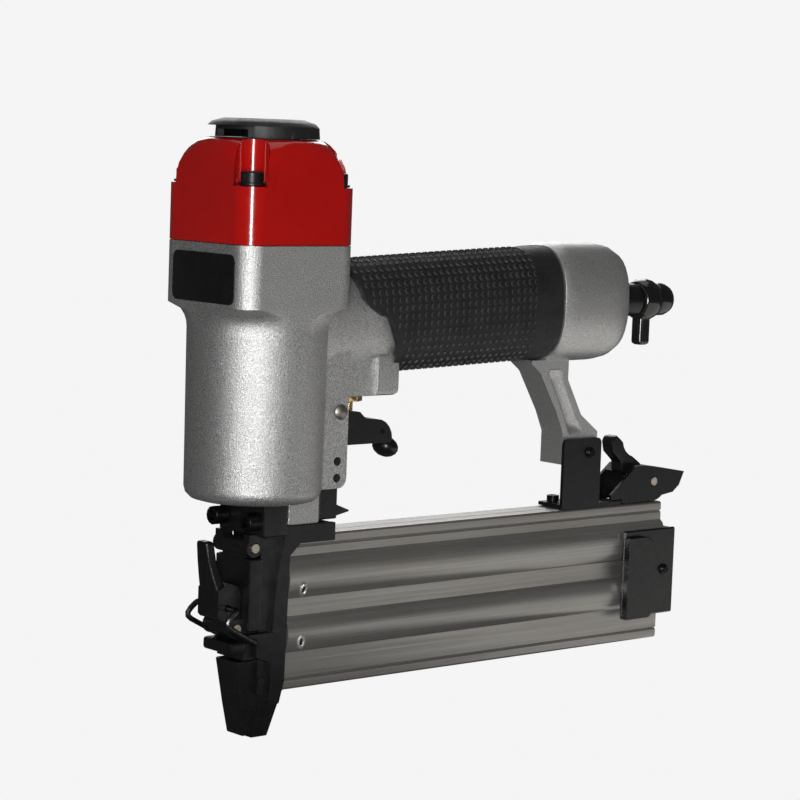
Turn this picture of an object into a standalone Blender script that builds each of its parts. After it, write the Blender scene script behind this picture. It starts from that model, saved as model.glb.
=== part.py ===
"""Pneumatic brad nailer, built as separate pieces.

Metres, +Z up, +X towards the air inlet, -Y the side with the thumb pull.
Every piece is drawn about the drive axis (x = 0, y = 0, nose face at z = 0).
A root empty then puts the origin on the flat nose pad just behind the drive slot.
"""
import math

import bmesh
import bpy
from mathutils import Matrix, Vector

# General
CLEARANCE = 0.0003
CORNER_STEPS = 10
OVAL_STEPS = 32
OVAL_POWER = 0.8
ROUND_SIDES = 40
BOLT_SIDES = 12

# Driver guide (nose)
NOSE_PAD_X = 0.0037
GUIDE_HEIGHT = 0.0913
GUIDE_BLOCK_HEIGHT = 0.0128
GUIDE_BLOCK_FRONT = -0.005
GUIDE_BLOCK_REAR = 0.007
GUIDE_BLOCK_HALF = 0.014
GUIDE_BLOCK_EDGE = 0.001
GUIDE_MARGIN = 0.0006
GUIDE_WALL = 0.0022
GUIDE_FRONT = -0.0017
GUIDE_WEB = 0.0041
GUIDE_ARM_REAR = 0.0327
GUIDE_ARM_DEPTH = 0.007
GUIDE_STRIP = 0.0073
NOSE_FRONT_DEPTH = 0.0103
NOSE_FRONT_HALF = 0.007
NOSE_FRONT_LIFT = 0.0005
NOSE_EDGE = 0.0008
NOSE_GAP = 0.0007
NOSE_PAD_HALF = 0.0064
NOSE_PAD_REAR = 0.0056
DRIVE_SLOT_X = 0.0019
DRIVE_SLOT_Y = 0.00115
BLADE_X = 0.0015
BLADE_Y = 0.0008
BLADE_LIFT = 0.001
DRIVE_STROKE = 0.056
SCREW_SPREAD = 0.0104
SCREW_DROP = 0.0068
SCREW_RADIUS = 0.0022
SCREW_HEAD = 0.0036
SCREW_HEAD_HEIGHT = 0.006

# Nose door, latch lever and wire bail
HINGE_X = -0.0064
HINGE_DROP = 0.0041
HINGE_PIN_RADIUS = 0.0019
PIN_STANDOUT = 0.0008
LUG_RADIUS = 0.0036
LUG_INNER = 0.0072
LUG_OUTER = 0.0108
KNUCKLE_RADIUS = 0.0034
DOOR_FRONT = -0.0085
DOOR_HALF = 0.0108
DOOR_LOWER_HALF = 0.0082
DOOR_STEP_DROP = 0.0322
DOOR_LENGTH = 0.0434
DOOR_EDGE = 0.0008
LIP_REACH = 0.0065
LIP_HALF = 0.009
LIP_RISE = 0.0026
LIP_HEIGHT = 0.0048
LIP_EDGE = 0.0012
LEVER_X = -0.012
LEVER_DROP = 0.0309
LEVER_HALF = 0.0064
LEVER_EYE = 0.0032
LEVER_DEPTH = 0.0075
LEVER_TOP = 0.015
TAB_LEAN = 0.0118
TAB_TOP = 0.0335
TAB_THICKNESS = 0.0052
TAB_TOP_HALF = 0.0034
TAB_EDGE = 0.0013
BAIL_AHEAD = 0.003
BAIL_RISE = 0.008
BAIL_WIRE = 0.0011
BAIL_HALF = 0.0126
BAIL_ELBOW_X = 0.0062
BAIL_ELBOW_Z = 0.005
BAIL_BEND = 0.0026
BAIL_END_X = -0.0055
BAIL_END_DROP = 0.0055
BAIL_END_HALF = 0.0099
HOOK_LENGTH = 0.0041
HOOK_THICKNESS = 0.0018

# Body casting
CYL_RADIUS = 0.0264
CYL_DRAFT = 0.0005
CYL_WALL = 0.0049
CYL_RIM = 0.005
BODY_HEIGHT = 0.0978
HEAD_MARGIN = 0.0006
HEAD_CORNER = 0.009
HEAD_HEIGHT = 0.0234
COVE_HEIGHT = 0.009
BODY_FLOOR = 0.0054
BLADE_HOLE = 0.0038
GUIDE_BOSS_REAR = 0.0227
GUIDE_BOSS_HALF = 0.0135
GUIDE_BOSS_EDGE = 0.0012
EAR_LENGTH = 0.0092
EAR_HALF = 0.012
EAR_DROP = 0.0297
EAR_CORNER = 0.004
TRIGGER_SLOT_HALF = 0.0077
TRIGGER_SLOT_ROOF = 0.0005
VALVE_BOSS_LENGTH = 0.0172
VALVE_BOSS_HALF = 0.0108
VALVE_BOSS_DROP = 0.0288
VALVE_BOSS_EDGE = 0.0022
BOSS_WAIST = 0.0018
BOSS_PAD_LENGTH = 0.0116

# Handle
HANDLE_DROP = 0.0306
HANDLE_SLOPE = 0.042
HANDLE_BACKSET = 0.0668
TUBE_HALF_WIDTH = 0.0133
TUBE_HALF_HEIGHT = 0.0196
TUBE_WALL = 0.004
ROOT_REACH = 0.0196
ROOT_LENGTH = 0.036
ROOT_FLARE = 0.0045
GRIP_THICKNESS = 0.0028
GRIP_SETBACK = 0.0094
GRIP_STEP_LENGTH = 0.017
GRIP_STEP_RISE = 0.0029
GRIP_LOWER_SETBACK = 0.0238
GRIP_REAR_GAP = 0.006
GRIP_SWELL = 0.0006
GRIP_RIM = 0.0012

# Cap, bolts and exhaust
GASKET_THICKNESS = 0.0008
GASKET_INSET = 0.0016
CAP_HEIGHT = 0.0388
CAP_SHOULDER = 0.0175
CAP_CROWN_INSET = 0.0065
SHOULDER_FULLNESS = 0.62
CAVITY_STEP = 0.0012
CAP_ROOF = 0.0065
BOLT_INSET = 0.0069
BOLT_SEAT_DROP = 0.0175
BOLT_SHANK = 0.0025
BOLT_HEAD = 0.0042
BOLT_HEAD_HEIGHT = 0.0042
BOLT_WASHER = 0.005
BOLT_WASHER_HEIGHT = 0.001
BOLT_REACH = 0.033
BOLT_POCKET = 0.0064
COVER_OVERHANG = 0.0009
COVER_HEIGHT = 0.0071
COVER_PLATE = 0.0029
COVER_CHAMFER = 0.0062
COVER_WINDOW_DEPTH = 0.0034
COVER_WALL = 0.0025
COVER_HUB = 0.008
COVER_OPEN_FROM = 112.0
COVER_OPEN_TO = 223.0
COVER_VENT_FROM = 160.0
COVER_VENT_TO = 214.0
COVER_FLUTES = 16
COVER_FLUTE_RADIUS = 0.0006
COVER_BOLT = 0.003
COVER_BOLT_HEAD = 0.005
COVER_BOLT_HEAD_HEIGHT = 0.0024
PORT_RADIUS = 0.0028
PORT_CIRCLE = 0.0135

# Pieces inside the cylinder
SLEEVE_GAP = 0.003
SLEEVE_WALL = 0.0025
SLEEVE_DROP = 0.0024
SLEEVE_COLLAR_DROP = 0.037
SLEEVE_COLLAR_HEIGHT = 0.006
BUMPER_HEIGHT = 0.0179
PISTON_HEIGHT = 0.012
PISTON_DROP = 0.003
SEAL_HEIGHT = 0.003
SEAL_DEPTH = 0.002
HEAD_VALVE_SKIRT = 0.0057
HEAD_VALVE_HEIGHT = 0.012
HEAD_VALVE_BORE = 0.006
SPRING_RADIUS = 0.0125
SPRING_WIRE = 0.001
SPRING_TURNS = 4
SPRING_POINTS = 9

# Trigger and its valve
TRIGGER_SETBACK = 0.0062
TRIGGER_DROP = 0.0341
TRIGGER_EYE = 0.0036
TRIGGER_HALF = 0.0072
TRIGGER_WEB = 0.0028
TRIGGER_LENGTH = 0.0308
TRIGGER_DEPTH = 0.0138
TRIGGER_NOSE = 0.0081
TRIGGER_CREST_DROP = 0.0036
TRIGGER_PIN = 0.002
TRIGGER_PIN_HEAD = 0.0032
FINGER_PAD_LENGTH = 0.0052
FINGER_PAD_HALF = 0.0056
FINGER_PAD_DEPTH = 0.0041
FINGER_PAD_TILT = 24.0
FINGER_PAD_OVERHANG = 0.0026
VALVE_SETBACK = 0.0139
VALVE_RADIUS = 0.0046
VALVE_NUT = 0.0052
VALVE_NUT_HEIGHT = 0.0022
VALVE_LENGTH = 0.017
STEM_RADIUS = 0.0015
STEM_POCKET_DROP = 0.0052

# Rear stay under the trigger ears
STAY_GAP = 0.0006
STAY_LENGTH = 0.0092
STAY_RISE = 0.0125
STAY_EDGE = 0.0006
STAY_FIN = 0.007
STAY_FIN_HEIGHT = 0.006
STAY_PIN_SETBACK = 0.0044
STAY_PIN_RISE = (0.0106, 0.0041)
STAY_PIN_RADIUS = 0.0015

# End cap, strut and air inlet
END_CAP_LAP = 0.0056
END_CAP_LENGTH = 0.0436
END_CAP_HALF_WIDTH = 0.0188
END_CAP_HALF_HEIGHT = 0.025
END_CAP_CROWN = 0.0088
END_CAP_WALL = 0.0042
STRUT_HALF = 0.0065
STRUT_GROOVE = 0.0018
STRUT_RIB = 0.0028
STRUT_STEP = 0.0006
FOOT_SETBACK = 0.0121
FOOT_LENGTH = 0.0205
FOOT_LIFT = 0.0192
FOOT_HEIGHT = 0.0133
INLET_RADIUS = 0.007
INLET_THREAD = 0.0052
INLET_BORE = 0.003
INLET_SEAT = 0.0012
INLET_LENGTH = 0.0144
DUST_BALL = 0.0091
DUST_KNOB = 0.007
DUST_LENGTH = 0.0208
DUST_TAB_WIDTH = 0.0064
DUST_TAB_THICKNESS = 0.006
DUST_TAB_DROP = 0.0195
DUST_TAB_EDGE = 0.0015

# Magazine
MAG_FRONT = 0.011
MAG_LENGTH = 0.2078
MAG_DROP = 0.014
MAG_HEIGHT = 0.06
MAG_HALF = 0.0082
MAG_STRIP = 0.0041
MAG_GROOVE = 0.0007
MAG_HUMP = 0.003
MAG_HUMP_DROP = (0.0161, 0.0383)
MAG_HUMP_HALF = (0.0082, 0.007)
NAIL_SLOT_HALF = 0.0008
RUNNER_DEPTH = 0.0028
RUNNER_HEIGHT = 0.0016
PUSHER_HALF = 0.0005
PUSHER_LENGTH = 0.0283
CARRIAGE_SETBACK = 0.005
CARRIAGE_HOLLOW = 0.0047
CARRIAGE_DEPTH = 0.009
ROLL_RADIUS = 0.0038

# Thumb pull, strut bracket and rear latch
PULL_LENGTH = 0.0268
PULL_DROP = 0.01
PULL_HEIGHT = 0.0375
PULL_WALL = 0.0018
PULL_END = 0.0042
PULL_EDGE = 0.0006
PULL_HUMP_LENGTH = 0.0155
PULL_HUMP_RISE = 0.0026
PULL_HUMP_CORNER = 0.0055
PULL_HUMP_EDGE = 0.0016
PULL_NOTCH = 0.0012
PULL_NOTCH_RISE = 0.003
PULL_SCREW_INSET = 0.0024
PULL_SCREW_DROP = 0.0016
SMALL_SCREW_SHANK = 0.0015
SMALL_SCREW_HEAD = 0.0025
SMALL_SCREW_HEIGHT = 0.0016
BRACKET_SETBACK = 0.0017
BRACKET_LENGTH = 0.0333
BRACKET_PLATE = 0.0016
BRACKET_CORNER = 0.0022
CHEEK_AHEAD = 0.0005
CHEEK_LENGTH = 0.022
CHEEK_HEIGHT = 0.03
STRUT_SCREW_SETBACK = 0.0145
STRUT_SCREW_RISE = 0.0047
BRACKET_BOLT_SETBACK = (0.0057, 0.0315)
BRACKET_BOLT_Y = 0.0036
BRACKET_BOLT_HEAD = 0.0027
BRACKET_BOLT_HEIGHT = 0.0026
BRACKET_BOLT_REACH = 0.009
LATCH_INSET = 0.0056
LATCH_RISE = 0.0092
LATCH_HALF = 0.0082
LATCH_CHEEK = 0.0013
LATCH_TOE_REACH = 0.0258
LATCH_TAIL = 0.0192
LATCH_DEPTH = 0.0072
LATCH_PIN = 0.0019
LATCH_PIN_STANDOUT = 0.0006
LATCH_BLOCK_LENGTH = 0.0115
LATCH_BLOCK_WIDTH = 0.0052
LATCH_BLOCK_EDGE = 0.0008
HORN_HALF = 0.0034
HORN_BACK = 0.021
HORN_HEIGHT = 0.0201
HORN_THICKNESS = 0.0052
HORN_EDGE = 0.0012

# Heights and places that follow from the sizes above
GUIDE_BLOCK_BOTTOM = GUIDE_HEIGHT - GUIDE_BLOCK_HEIGHT
SCREW_Z = GUIDE_HEIGHT - SCREW_DROP
GUIDE_HALF = MAG_HALF + GUIDE_MARGIN
WALL_OUTER = GUIDE_HALF + GUIDE_WALL
DOOR_BACK = GUIDE_FRONT - CLEARANCE
HINGE_Z = GUIDE_BLOCK_BOTTOM - HINGE_DROP
DOOR_STEP_Z = HINGE_Z - DOOR_STEP_DROP
DOOR_BOTTOM = HINGE_Z - DOOR_LENGTH
NOSE_SHOULDER = DOOR_BOTTOM - NOSE_GAP
LIP_BOTTOM = DOOR_BOTTOM + LIP_RISE
LEVER_Z = HINGE_Z - LEVER_DROP
BAIL_X = LEVER_X - BAIL_AHEAD
BAIL_Z = LEVER_Z + BAIL_RISE
BAIL_END_Z = LEVER_Z - BAIL_END_DROP
CYL_BOTTOM = GUIDE_HEIGHT + CLEARANCE
HEAD_TOP = CYL_BOTTOM + BODY_HEIGHT
HEAD_HALF = CYL_RADIUS + HEAD_MARGIN
COVE_BOTTOM = HEAD_TOP - HEAD_HEIGHT - COVE_HEIGHT
BORE_RADIUS = CYL_RADIUS - CYL_WALL
BORE_FLOOR = CYL_BOTTOM + BODY_FLOOR
CAP_BOTTOM = HEAD_TOP + CLEARANCE
CAP_TOP = CAP_BOTTOM + CAP_HEIGHT
CAP_TOP_RADIUS = HEAD_HALF - CAP_CROWN_INSET
CAP_CAVITY_RADIUS = BORE_RADIUS - CAVITY_STEP
CAVITY_TOP = CAP_TOP - CAP_ROOF
BOLT_PLACE = HEAD_HALF - BOLT_INSET
BOLT_SEAT = CAP_TOP - BOLT_SEAT_DROP
COVER_RADIUS = CAP_TOP_RADIUS + COVER_OVERHANG
COVER_BOTTOM = CAP_TOP + CLEARANCE
COVER_TOP = COVER_BOTTOM + COVER_HEIGHT
COVER_ROOF = COVER_TOP - COVER_PLATE
SLEEVE_OUTER = BORE_RADIUS - SLEEVE_GAP
SLEEVE_INNER = SLEEVE_OUTER - SLEEVE_WALL
SLEEVE_BOTTOM = BORE_FLOOR + CLEARANCE
SLEEVE_TOP = HEAD_TOP - SLEEVE_DROP
SLEEVE_COLLAR_Z = SLEEVE_TOP - SLEEVE_COLLAR_DROP
BUMPER_BOTTOM = BORE_FLOOR + CLEARANCE
PISTON_TOP = SLEEVE_TOP - PISTON_DROP
PISTON_BOTTOM = PISTON_TOP - PISTON_HEIGHT
BLADE_TIP = DRIVE_STROKE + BLADE_LIFT
HEAD_VALVE_BOTTOM = SLEEVE_TOP + CLEARANCE
HEAD_VALVE_STEP = HEAD_VALVE_BOTTOM + HEAD_VALVE_SKIRT
HEAD_VALVE_TOP = HEAD_VALVE_STEP + HEAD_VALVE_HEIGHT
MAG_TOP = GUIDE_HEIGHT - MAG_DROP
MAG_BOTTOM = MAG_TOP - MAG_HEIGHT
MAG_REAR = MAG_FRONT + MAG_LENGTH
MAG_HUMP_Z = [MAG_TOP - drop for drop in MAG_HUMP_DROP]
GUIDE_WEB_BOTTOM = MAG_TOP + CLEARANCE
GUIDE_WEB_TOP = GUIDE_WEB_BOTTOM + GUIDE_WEB
GUIDE_REAR = MAG_FRONT - CLEARANCE
ON_MAG = MAG_TOP + CLEARANCE
HUMP_FACE = MAG_HALF + MAG_HUMP
CARRIAGE_FRONT = MAG_FRONT + CARRIAGE_SETBACK
PULL_INNER = HUMP_FACE + CLEARANCE
PULL_OUTER = PULL_INNER + PULL_WALL
PULL_FRONT = MAG_REAR - PULL_LENGTH
PULL_BOTTOM = MAG_HUMP_Z[1] - PULL_DROP
PULL_SCREW_X = MAG_REAR - PULL_SCREW_INSET
PULL_SCREW_Z = (MAG_HUMP_Z[0] + MAG_HUMP_Z[1]) / 2 - PULL_SCREW_DROP
HANDLE_Z = HEAD_TOP - HANDLE_DROP
HANDLE_END = MAG_REAR - HANDLE_BACKSET
ROOT_END = CYL_RADIUS + ROOT_REACH
GRIP_FRONT = CYL_RADIUS + GRIP_SETBACK
GRIP_STEP_X = GRIP_FRONT + GRIP_STEP_LENGTH
GRIP_STEP_Z = HANDLE_Z + GRIP_STEP_RISE
GRIP_LOWER_FRONT = GRIP_FRONT + GRIP_LOWER_SETBACK
GRIP_REAR = HANDLE_END - GRIP_REAR_GAP
STAY_FRONT = CYL_RADIUS + STAY_GAP + CLEARANCE
STAY_PIN_X = STAY_FRONT + STAY_PIN_SETBACK
EAR_REAR = STAY_FRONT + EAR_LENGTH
TRIGGER_X = CYL_RADIUS + TRIGGER_SETBACK
TRIGGER_Z = HANDLE_Z - TRIGGER_DROP
EAR_BOTTOM = TRIGGER_Z - EAR_DROP
STAY_TOP = EAR_BOTTOM + STAY_RISE
STAY_PIN_Z = [EAR_BOTTOM + rise for rise in STAY_PIN_RISE]
STEM_POCKET_Z = TRIGGER_Z - STEM_POCKET_DROP
VALVE_X = TRIGGER_X + VALVE_SETBACK
VALVE_BOSS_REAR = VALVE_X + VALVE_BOSS_LENGTH
VALVE_BOSS_BOTTOM = HANDLE_Z - VALVE_BOSS_DROP
END_CAP_FRONT = HANDLE_END - END_CAP_LAP
END_CAP_REAR = END_CAP_FRONT + END_CAP_LENGTH
END_CAP_AXIS = HANDLE_Z + HANDLE_SLOPE * END_CAP_FRONT
FOOT_FRONT = END_CAP_FRONT + FOOT_SETBACK
FOOT_BOTTOM = MAG_TOP + FOOT_LIFT
FOOT_TOP = FOOT_BOTTOM + FOOT_HEIGHT
BRACKET_FRONT = FOOT_FRONT + BRACKET_SETBACK
BRACKET_REAR = BRACKET_FRONT + BRACKET_LENGTH
BRACKET_CHEEK_FRONT = FOOT_FRONT - CHEEK_AHEAD
BRACKET_TOP = MAG_TOP + CHEEK_HEIGHT
BRACKET_FLOOR = ON_MAG + BRACKET_PLATE
BRACKET_BOLT_X = [FOOT_FRONT + setback for setback in BRACKET_BOLT_SETBACK]
STRUT_SCREW_X = FOOT_FRONT + STRUT_SCREW_SETBACK
STRUT_SCREW_Z = FOOT_BOTTOM + STRUT_SCREW_RISE
CHEEK_INNER = STRUT_HALF + CLEARANCE
CHEEK_OUTER = CHEEK_INNER + BRACKET_PLATE
LATCH_X = MAG_REAR - LATCH_INSET
LATCH_Z = MAG_TOP + LATCH_RISE
LATCH_TOE = LATCH_X - LATCH_TOE_REACH
LATCH_REAR = LATCH_X + LATCH_TAIL

FINISHES = {
    "cast": ((0.62, 0.62, 0.60), 0.42, 0.9),
    "red_paint": ((0.62, 0.03, 0.035), 0.25, 0.0),
    "black_steel": ((0.03, 0.03, 0.033), 0.45, 0.6),
    "bright_steel": ((0.66, 0.63, 0.58), 0.3, 1.0),
    "aluminium": ((0.52, 0.51, 0.49), 0.35, 1.0),
    "brass": ((0.72, 0.55, 0.25), 0.3, 1.0),
    "rubber": ((0.035, 0.037, 0.042), 0.8, 0.0),
    "black_plastic": ((0.02, 0.02, 0.022), 0.35, 0.0),
    "wire": ((0.22, 0.22, 0.21), 0.3, 1.0),
    "seal": ((0.05, 0.05, 0.05), 0.7, 0.0),
}


def clear_scene():
    for item in list(bpy.data.objects):
        bpy.data.objects.remove(item, do_unlink=True)


def new_collection(name):
    group = bpy.data.collections.new(name)
    bpy.context.scene.collection.children.link(group)
    return group


def new_empty(name, location, parent=None):
    empty = bpy.data.objects.new(name, None)
    empty.location = location
    empty.parent = parent
    PARTS.objects.link(empty)
    return empty


def piece_material(name, finish):
    colour, roughness, metallic = FINISHES[finish]
    material = bpy.data.materials.new(name + "_finish")
    material.use_nodes = True
    shader = material.node_tree.nodes["Principled BSDF"]
    shader.inputs["Base Color"].default_value = (*colour, 1.0)
    shader.inputs["Roughness"].default_value = roughness
    shader.inputs["Metallic"].default_value = metallic
    return material


def add_part(piece, finish, pivot=None):
    """Name a shape as a piece of the tool, under the empty that carries it."""
    PARTS.objects.link(piece)
    piece.data.materials.clear()
    piece.data.materials.append(piece_material(piece.name, finish))
    piece.parent = pivot or ROOT
    if pivot:
        piece.matrix_parent_inverse = Matrix.Translation(-pivot.location)
    return piece


def add_tool_shape(shape):
    """Keep a shape that only cuts or extends a piece."""
    CUTTERS.objects.link(shape)
    shape.parent = ROOT
    shape.hide_render = True
    shape.display_type = "WIRE"
    return shape


def boolean(piece, shape, operation):
    add_tool_shape(shape)
    step = piece.modifiers.new(shape.name, "BOOLEAN")
    step.operation = operation
    step.solver = "EXACT"
    step.object = shape


def cut(piece, *shapes):
    for shape in shapes:
        boolean(piece, shape, "DIFFERENCE")


def join(piece, *shapes):
    for shape in shapes:
        boolean(piece, shape, "UNION")


def mesh_object(name, bm):
    mesh = bpy.data.meshes.new(name)
    bm.to_mesh(mesh)
    bm.free()
    mesh.shade_smooth()
    mesh.set_sharp_from_angle(angle=math.radians(32))
    return bpy.data.objects.new(name, mesh)


def round_edges(piece, width, segments=2):
    step = piece.modifiers.new("rounding", "BEVEL")
    step.width = width
    step.segments = segments
    step.limit_method = "ANGLE"
    step.angle_limit = math.radians(40)
    return piece


def box(name, low, high, rounding=0.0, segments=2):
    low, high = Vector(low), Vector(high)
    bm = bmesh.new()
    bmesh.ops.create_cube(bm, size=1.0, matrix=Matrix.Diagonal((*(high - low), 1.0)))
    piece = mesh_object(name, bm)
    piece.location = (low + high) / 2
    if rounding:
        round_edges(piece, rounding, segments)
    return piece


def rod(name, radius, start, end, sides=BOLT_SIDES):
    start, end = Vector(start), Vector(end)
    bm = bmesh.new()
    bmesh.ops.create_cone(bm, cap_ends=True, segments=sides, radius1=radius, radius2=radius,
                          depth=(end - start).length)
    piece = mesh_object(name, bm)
    piece.location = (start + end) / 2
    piece.rotation_euler = (end - start).to_track_quat("Z", "Y").to_euler()
    return piece


def cross_rod(name, radius, x, z, half, sides=BOLT_SIDES):
    return rod(name, radius, (x, -half, z), (x, half, z), sides)


def turned(name, profile, base=(0, 0, 0), axis="Z", sides=ROUND_SIDES, closed=False):
    """Turn a profile of (radius, height) points, outer side first, top to bottom."""
    bm = bmesh.new()
    points = [bm.verts.new((radius, 0.0, height)) for radius, height in profile]
    for first, second in zip(points, points[1:]):
        bm.edges.new((first, second))
    if closed:
        bm.edges.new((points[-1], points[0]))
    piece = mesh_object(name, bm)
    piece.location = base
    if axis == "X":
        piece.rotation_euler = (0.0, math.pi / 2, 0.0)
    if axis == "-Y":
        piece.rotation_euler = (math.pi / 2, 0.0, 0.0)
    screw = piece.modifiers.new("turn", "SCREW")
    screw.steps = sides
    screw.render_steps = sides
    screw.use_merge_vertices = True
    screw.merge_threshold = 0.00001
    return piece


def loft(name, rings):
    """Skin a row of rings that have the same number of points."""
    bm = bmesh.new()
    loops = [[bm.verts.new(point) for point in ring] for ring in rings]
    for lower, upper in zip(loops, loops[1:]):
        for index in range(len(lower)):
            after = (index + 1) % len(lower)
            bm.faces.new((lower[index], lower[after], upper[after], upper[index]))
    bm.faces.new(loops[0])
    bm.faces.new(loops[-1])
    bmesh.ops.recalc_face_normals(bm, faces=bm.faces)
    return mesh_object(name, bm)


PLANES = {
    "XY": Matrix(((1, 0, 0), (0, 1, 0), (0, 0, 1))).to_4x4(),
    "XZ": Matrix(((1, 0, 0), (0, 0, -1), (0, 1, 0))).to_4x4(),
    "YZ": Matrix(((0, 0, 1), (1, 0, 0), (0, 1, 0))).to_4x4(),
}


def prism(name, outline, plane, low, high):
    """Extrude a flat outline from low to high along the axis that its plane lacks."""
    curve = bpy.data.curves.new(name, "CURVE")
    curve.dimensions = "2D"
    curve.fill_mode = "BOTH"
    curve.extrude = (high - low) / 2
    spline = curve.splines.new("POLY")
    spline.points.add(len(outline) - 1)
    for point, (across, up) in zip(spline.points, outline):
        point.co = (across, up, 0.0, 1.0)
    spline.use_cyclic_u = True
    source = bpy.data.objects.new(name, curve)
    bpy.context.scene.collection.objects.link(source)
    evaluated = source.evaluated_get(bpy.context.evaluated_depsgraph_get())
    bm = bmesh.new()
    bm.from_mesh(bpy.data.meshes.new_from_object(evaluated))
    bpy.data.objects.remove(source, do_unlink=True)
    bmesh.ops.remove_doubles(bm, verts=bm.verts, dist=1e-6)
    middle = (low + high) / 2
    shift = {"XY": (0, 0, middle), "XZ": (0, middle, 0), "YZ": (middle, 0, 0)}[plane]
    bm.transform(Matrix.Translation(shift) @ PLANES[plane])
    bmesh.ops.recalc_face_normals(bm, faces=bm.faces)
    return mesh_object(name, bm)


def arc(centre, radius, start, end, steps):
    """Points on an arc, angles in degrees."""
    points = []
    for step in range(steps + 1):
        angle = math.radians(start + (end - start) * step / steps)
        points.append((centre[0] + radius * math.cos(angle), centre[1] + radius * math.sin(angle)))
    return points


def rounded_square(half, radius, z):
    inner = half - radius
    points = []
    for quarter, (side_x, side_y) in enumerate(((1, 1), (-1, 1), (-1, -1), (1, -1))):
        for step in range(CORNER_STEPS):
            angle = math.pi / 2 * (quarter + (step + 0.5) / CORNER_STEPS)
            points.append((side_x * inner + radius * math.cos(angle),
                           side_y * inner + radius * math.sin(angle), z))
    return points


def oval(x, centre_z, half_width, half_height):
    points = []
    for step in range(OVAL_STEPS):
        angle = 2 * math.pi * (step + 0.5) / OVAL_STEPS
        across, up = math.cos(angle), math.sin(angle)
        points.append((x, half_width * math.copysign(abs(across) ** OVAL_POWER, across),
                       centre_z + half_height * math.copysign(abs(up) ** OVAL_POWER, up)))
    return points


def plate_ring(x_low, x_high, half, z):
    return [(x_low, -half, z), (x_high, -half, z), (x_high, half, z), (x_low, half, z)]


def mix(first, second, share):
    return first + (second - first) * share


def handle_axis(x):
    return HANDLE_Z + HANDLE_SLOPE * x


def tube_ring(x, offset=0.0):
    """Section of the handle tube, which flares where it grows out of the cylinder."""
    flare = max(0.0, (ROOT_END - x) / ROOT_LENGTH)
    growth = offset + ROOT_FLARE * flare * flare
    return oval(x, handle_axis(x), TUBE_HALF_WIDTH + growth, TUBE_HALF_HEIGHT + growth)


def root_stations():
    return [mix(ROOT_END - ROOT_LENGTH, ROOT_END, step / 6) for step in range(7)]


def valve_boss_box(name, offset=0.0):
    """Boss under the handle root that holds the trigger valve."""
    top = handle_axis(VALVE_X) - TUBE_HALF_HEIGHT + 1.5 * TUBE_WALL
    half = VALVE_BOSS_HALF + offset
    low = (CYL_RADIUS, -half, VALVE_BOSS_BOTTOM - offset)
    high = (VALVE_BOSS_REAR + offset, half, top)
    return box(name, low, high, VALVE_BOSS_EDGE)


def waisted_boss(name):
    """The valve boss, drawn in between the trigger ears and its rear pad."""
    boss = valve_boss_box(name)
    waist = VALVE_BOSS_HALF - BOSS_WAIST
    low = VALVE_BOSS_BOTTOM - VALVE_BOSS_HALF
    high = HANDLE_Z
    pad_front = VALVE_BOSS_REAR - BOSS_PAD_LENGTH
    cut(boss, box(name + "_waist_left", (EAR_REAR, -2 * VALVE_BOSS_HALF, low), (pad_front, -waist, high)))
    cut(boss, box(name + "_waist_right", (EAR_REAR, waist, low), (pad_front, 2 * VALVE_BOSS_HALF, high)))
    return boss


def bolt(name, seat, direction, head, head_height, shank, reach, washer=0.0, washer_height=0.0):
    """Socket-head bolt whose head rests at the seat and whose shank runs on along the direction."""
    top = washer_height + head_height
    edge = head / 10
    profile = [(0.0, top), (head - edge, top), (head, top - edge), (head, washer_height)]
    if washer:
        profile += [(washer, washer_height), (washer, 0.0)]
    profile += [(shank, 0.0), (shank, -reach), (0.0, -reach)]
    piece = turned(name, profile, seat, sides=BOLT_SIDES)
    piece.rotation_euler = (-Vector(direction)).to_track_quat("Z", "Y").to_euler()
    outward = -Vector(direction).normalized()
    floor = Vector(seat) + outward * (top - head_height * 0.5)
    cut(piece, rod(name + "_socket", head * 0.58, floor, floor + outward * head_height, 6))
    return piece


def pan_screw(name, seat, direction, reach):
    """Small screw with a low domed head."""
    profile = [(0.0, SMALL_SCREW_HEIGHT), (SMALL_SCREW_HEAD * 0.6, SMALL_SCREW_HEIGHT * 0.85),
               (SMALL_SCREW_HEAD, 0.0), (SMALL_SCREW_SHANK, 0.0), (SMALL_SCREW_SHANK, -reach), (0.0, -reach)]
    piece = turned(name, profile, seat, sides=BOLT_SIDES)
    piece.rotation_euler = (-Vector(direction)).to_track_quat("Z", "Y").to_euler()
    return piece


def corner_places():
    return [(side_x * BOLT_PLACE, side_y * BOLT_PLACE) for side_x in (-1, 1) for side_y in (-1, 1)]


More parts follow.
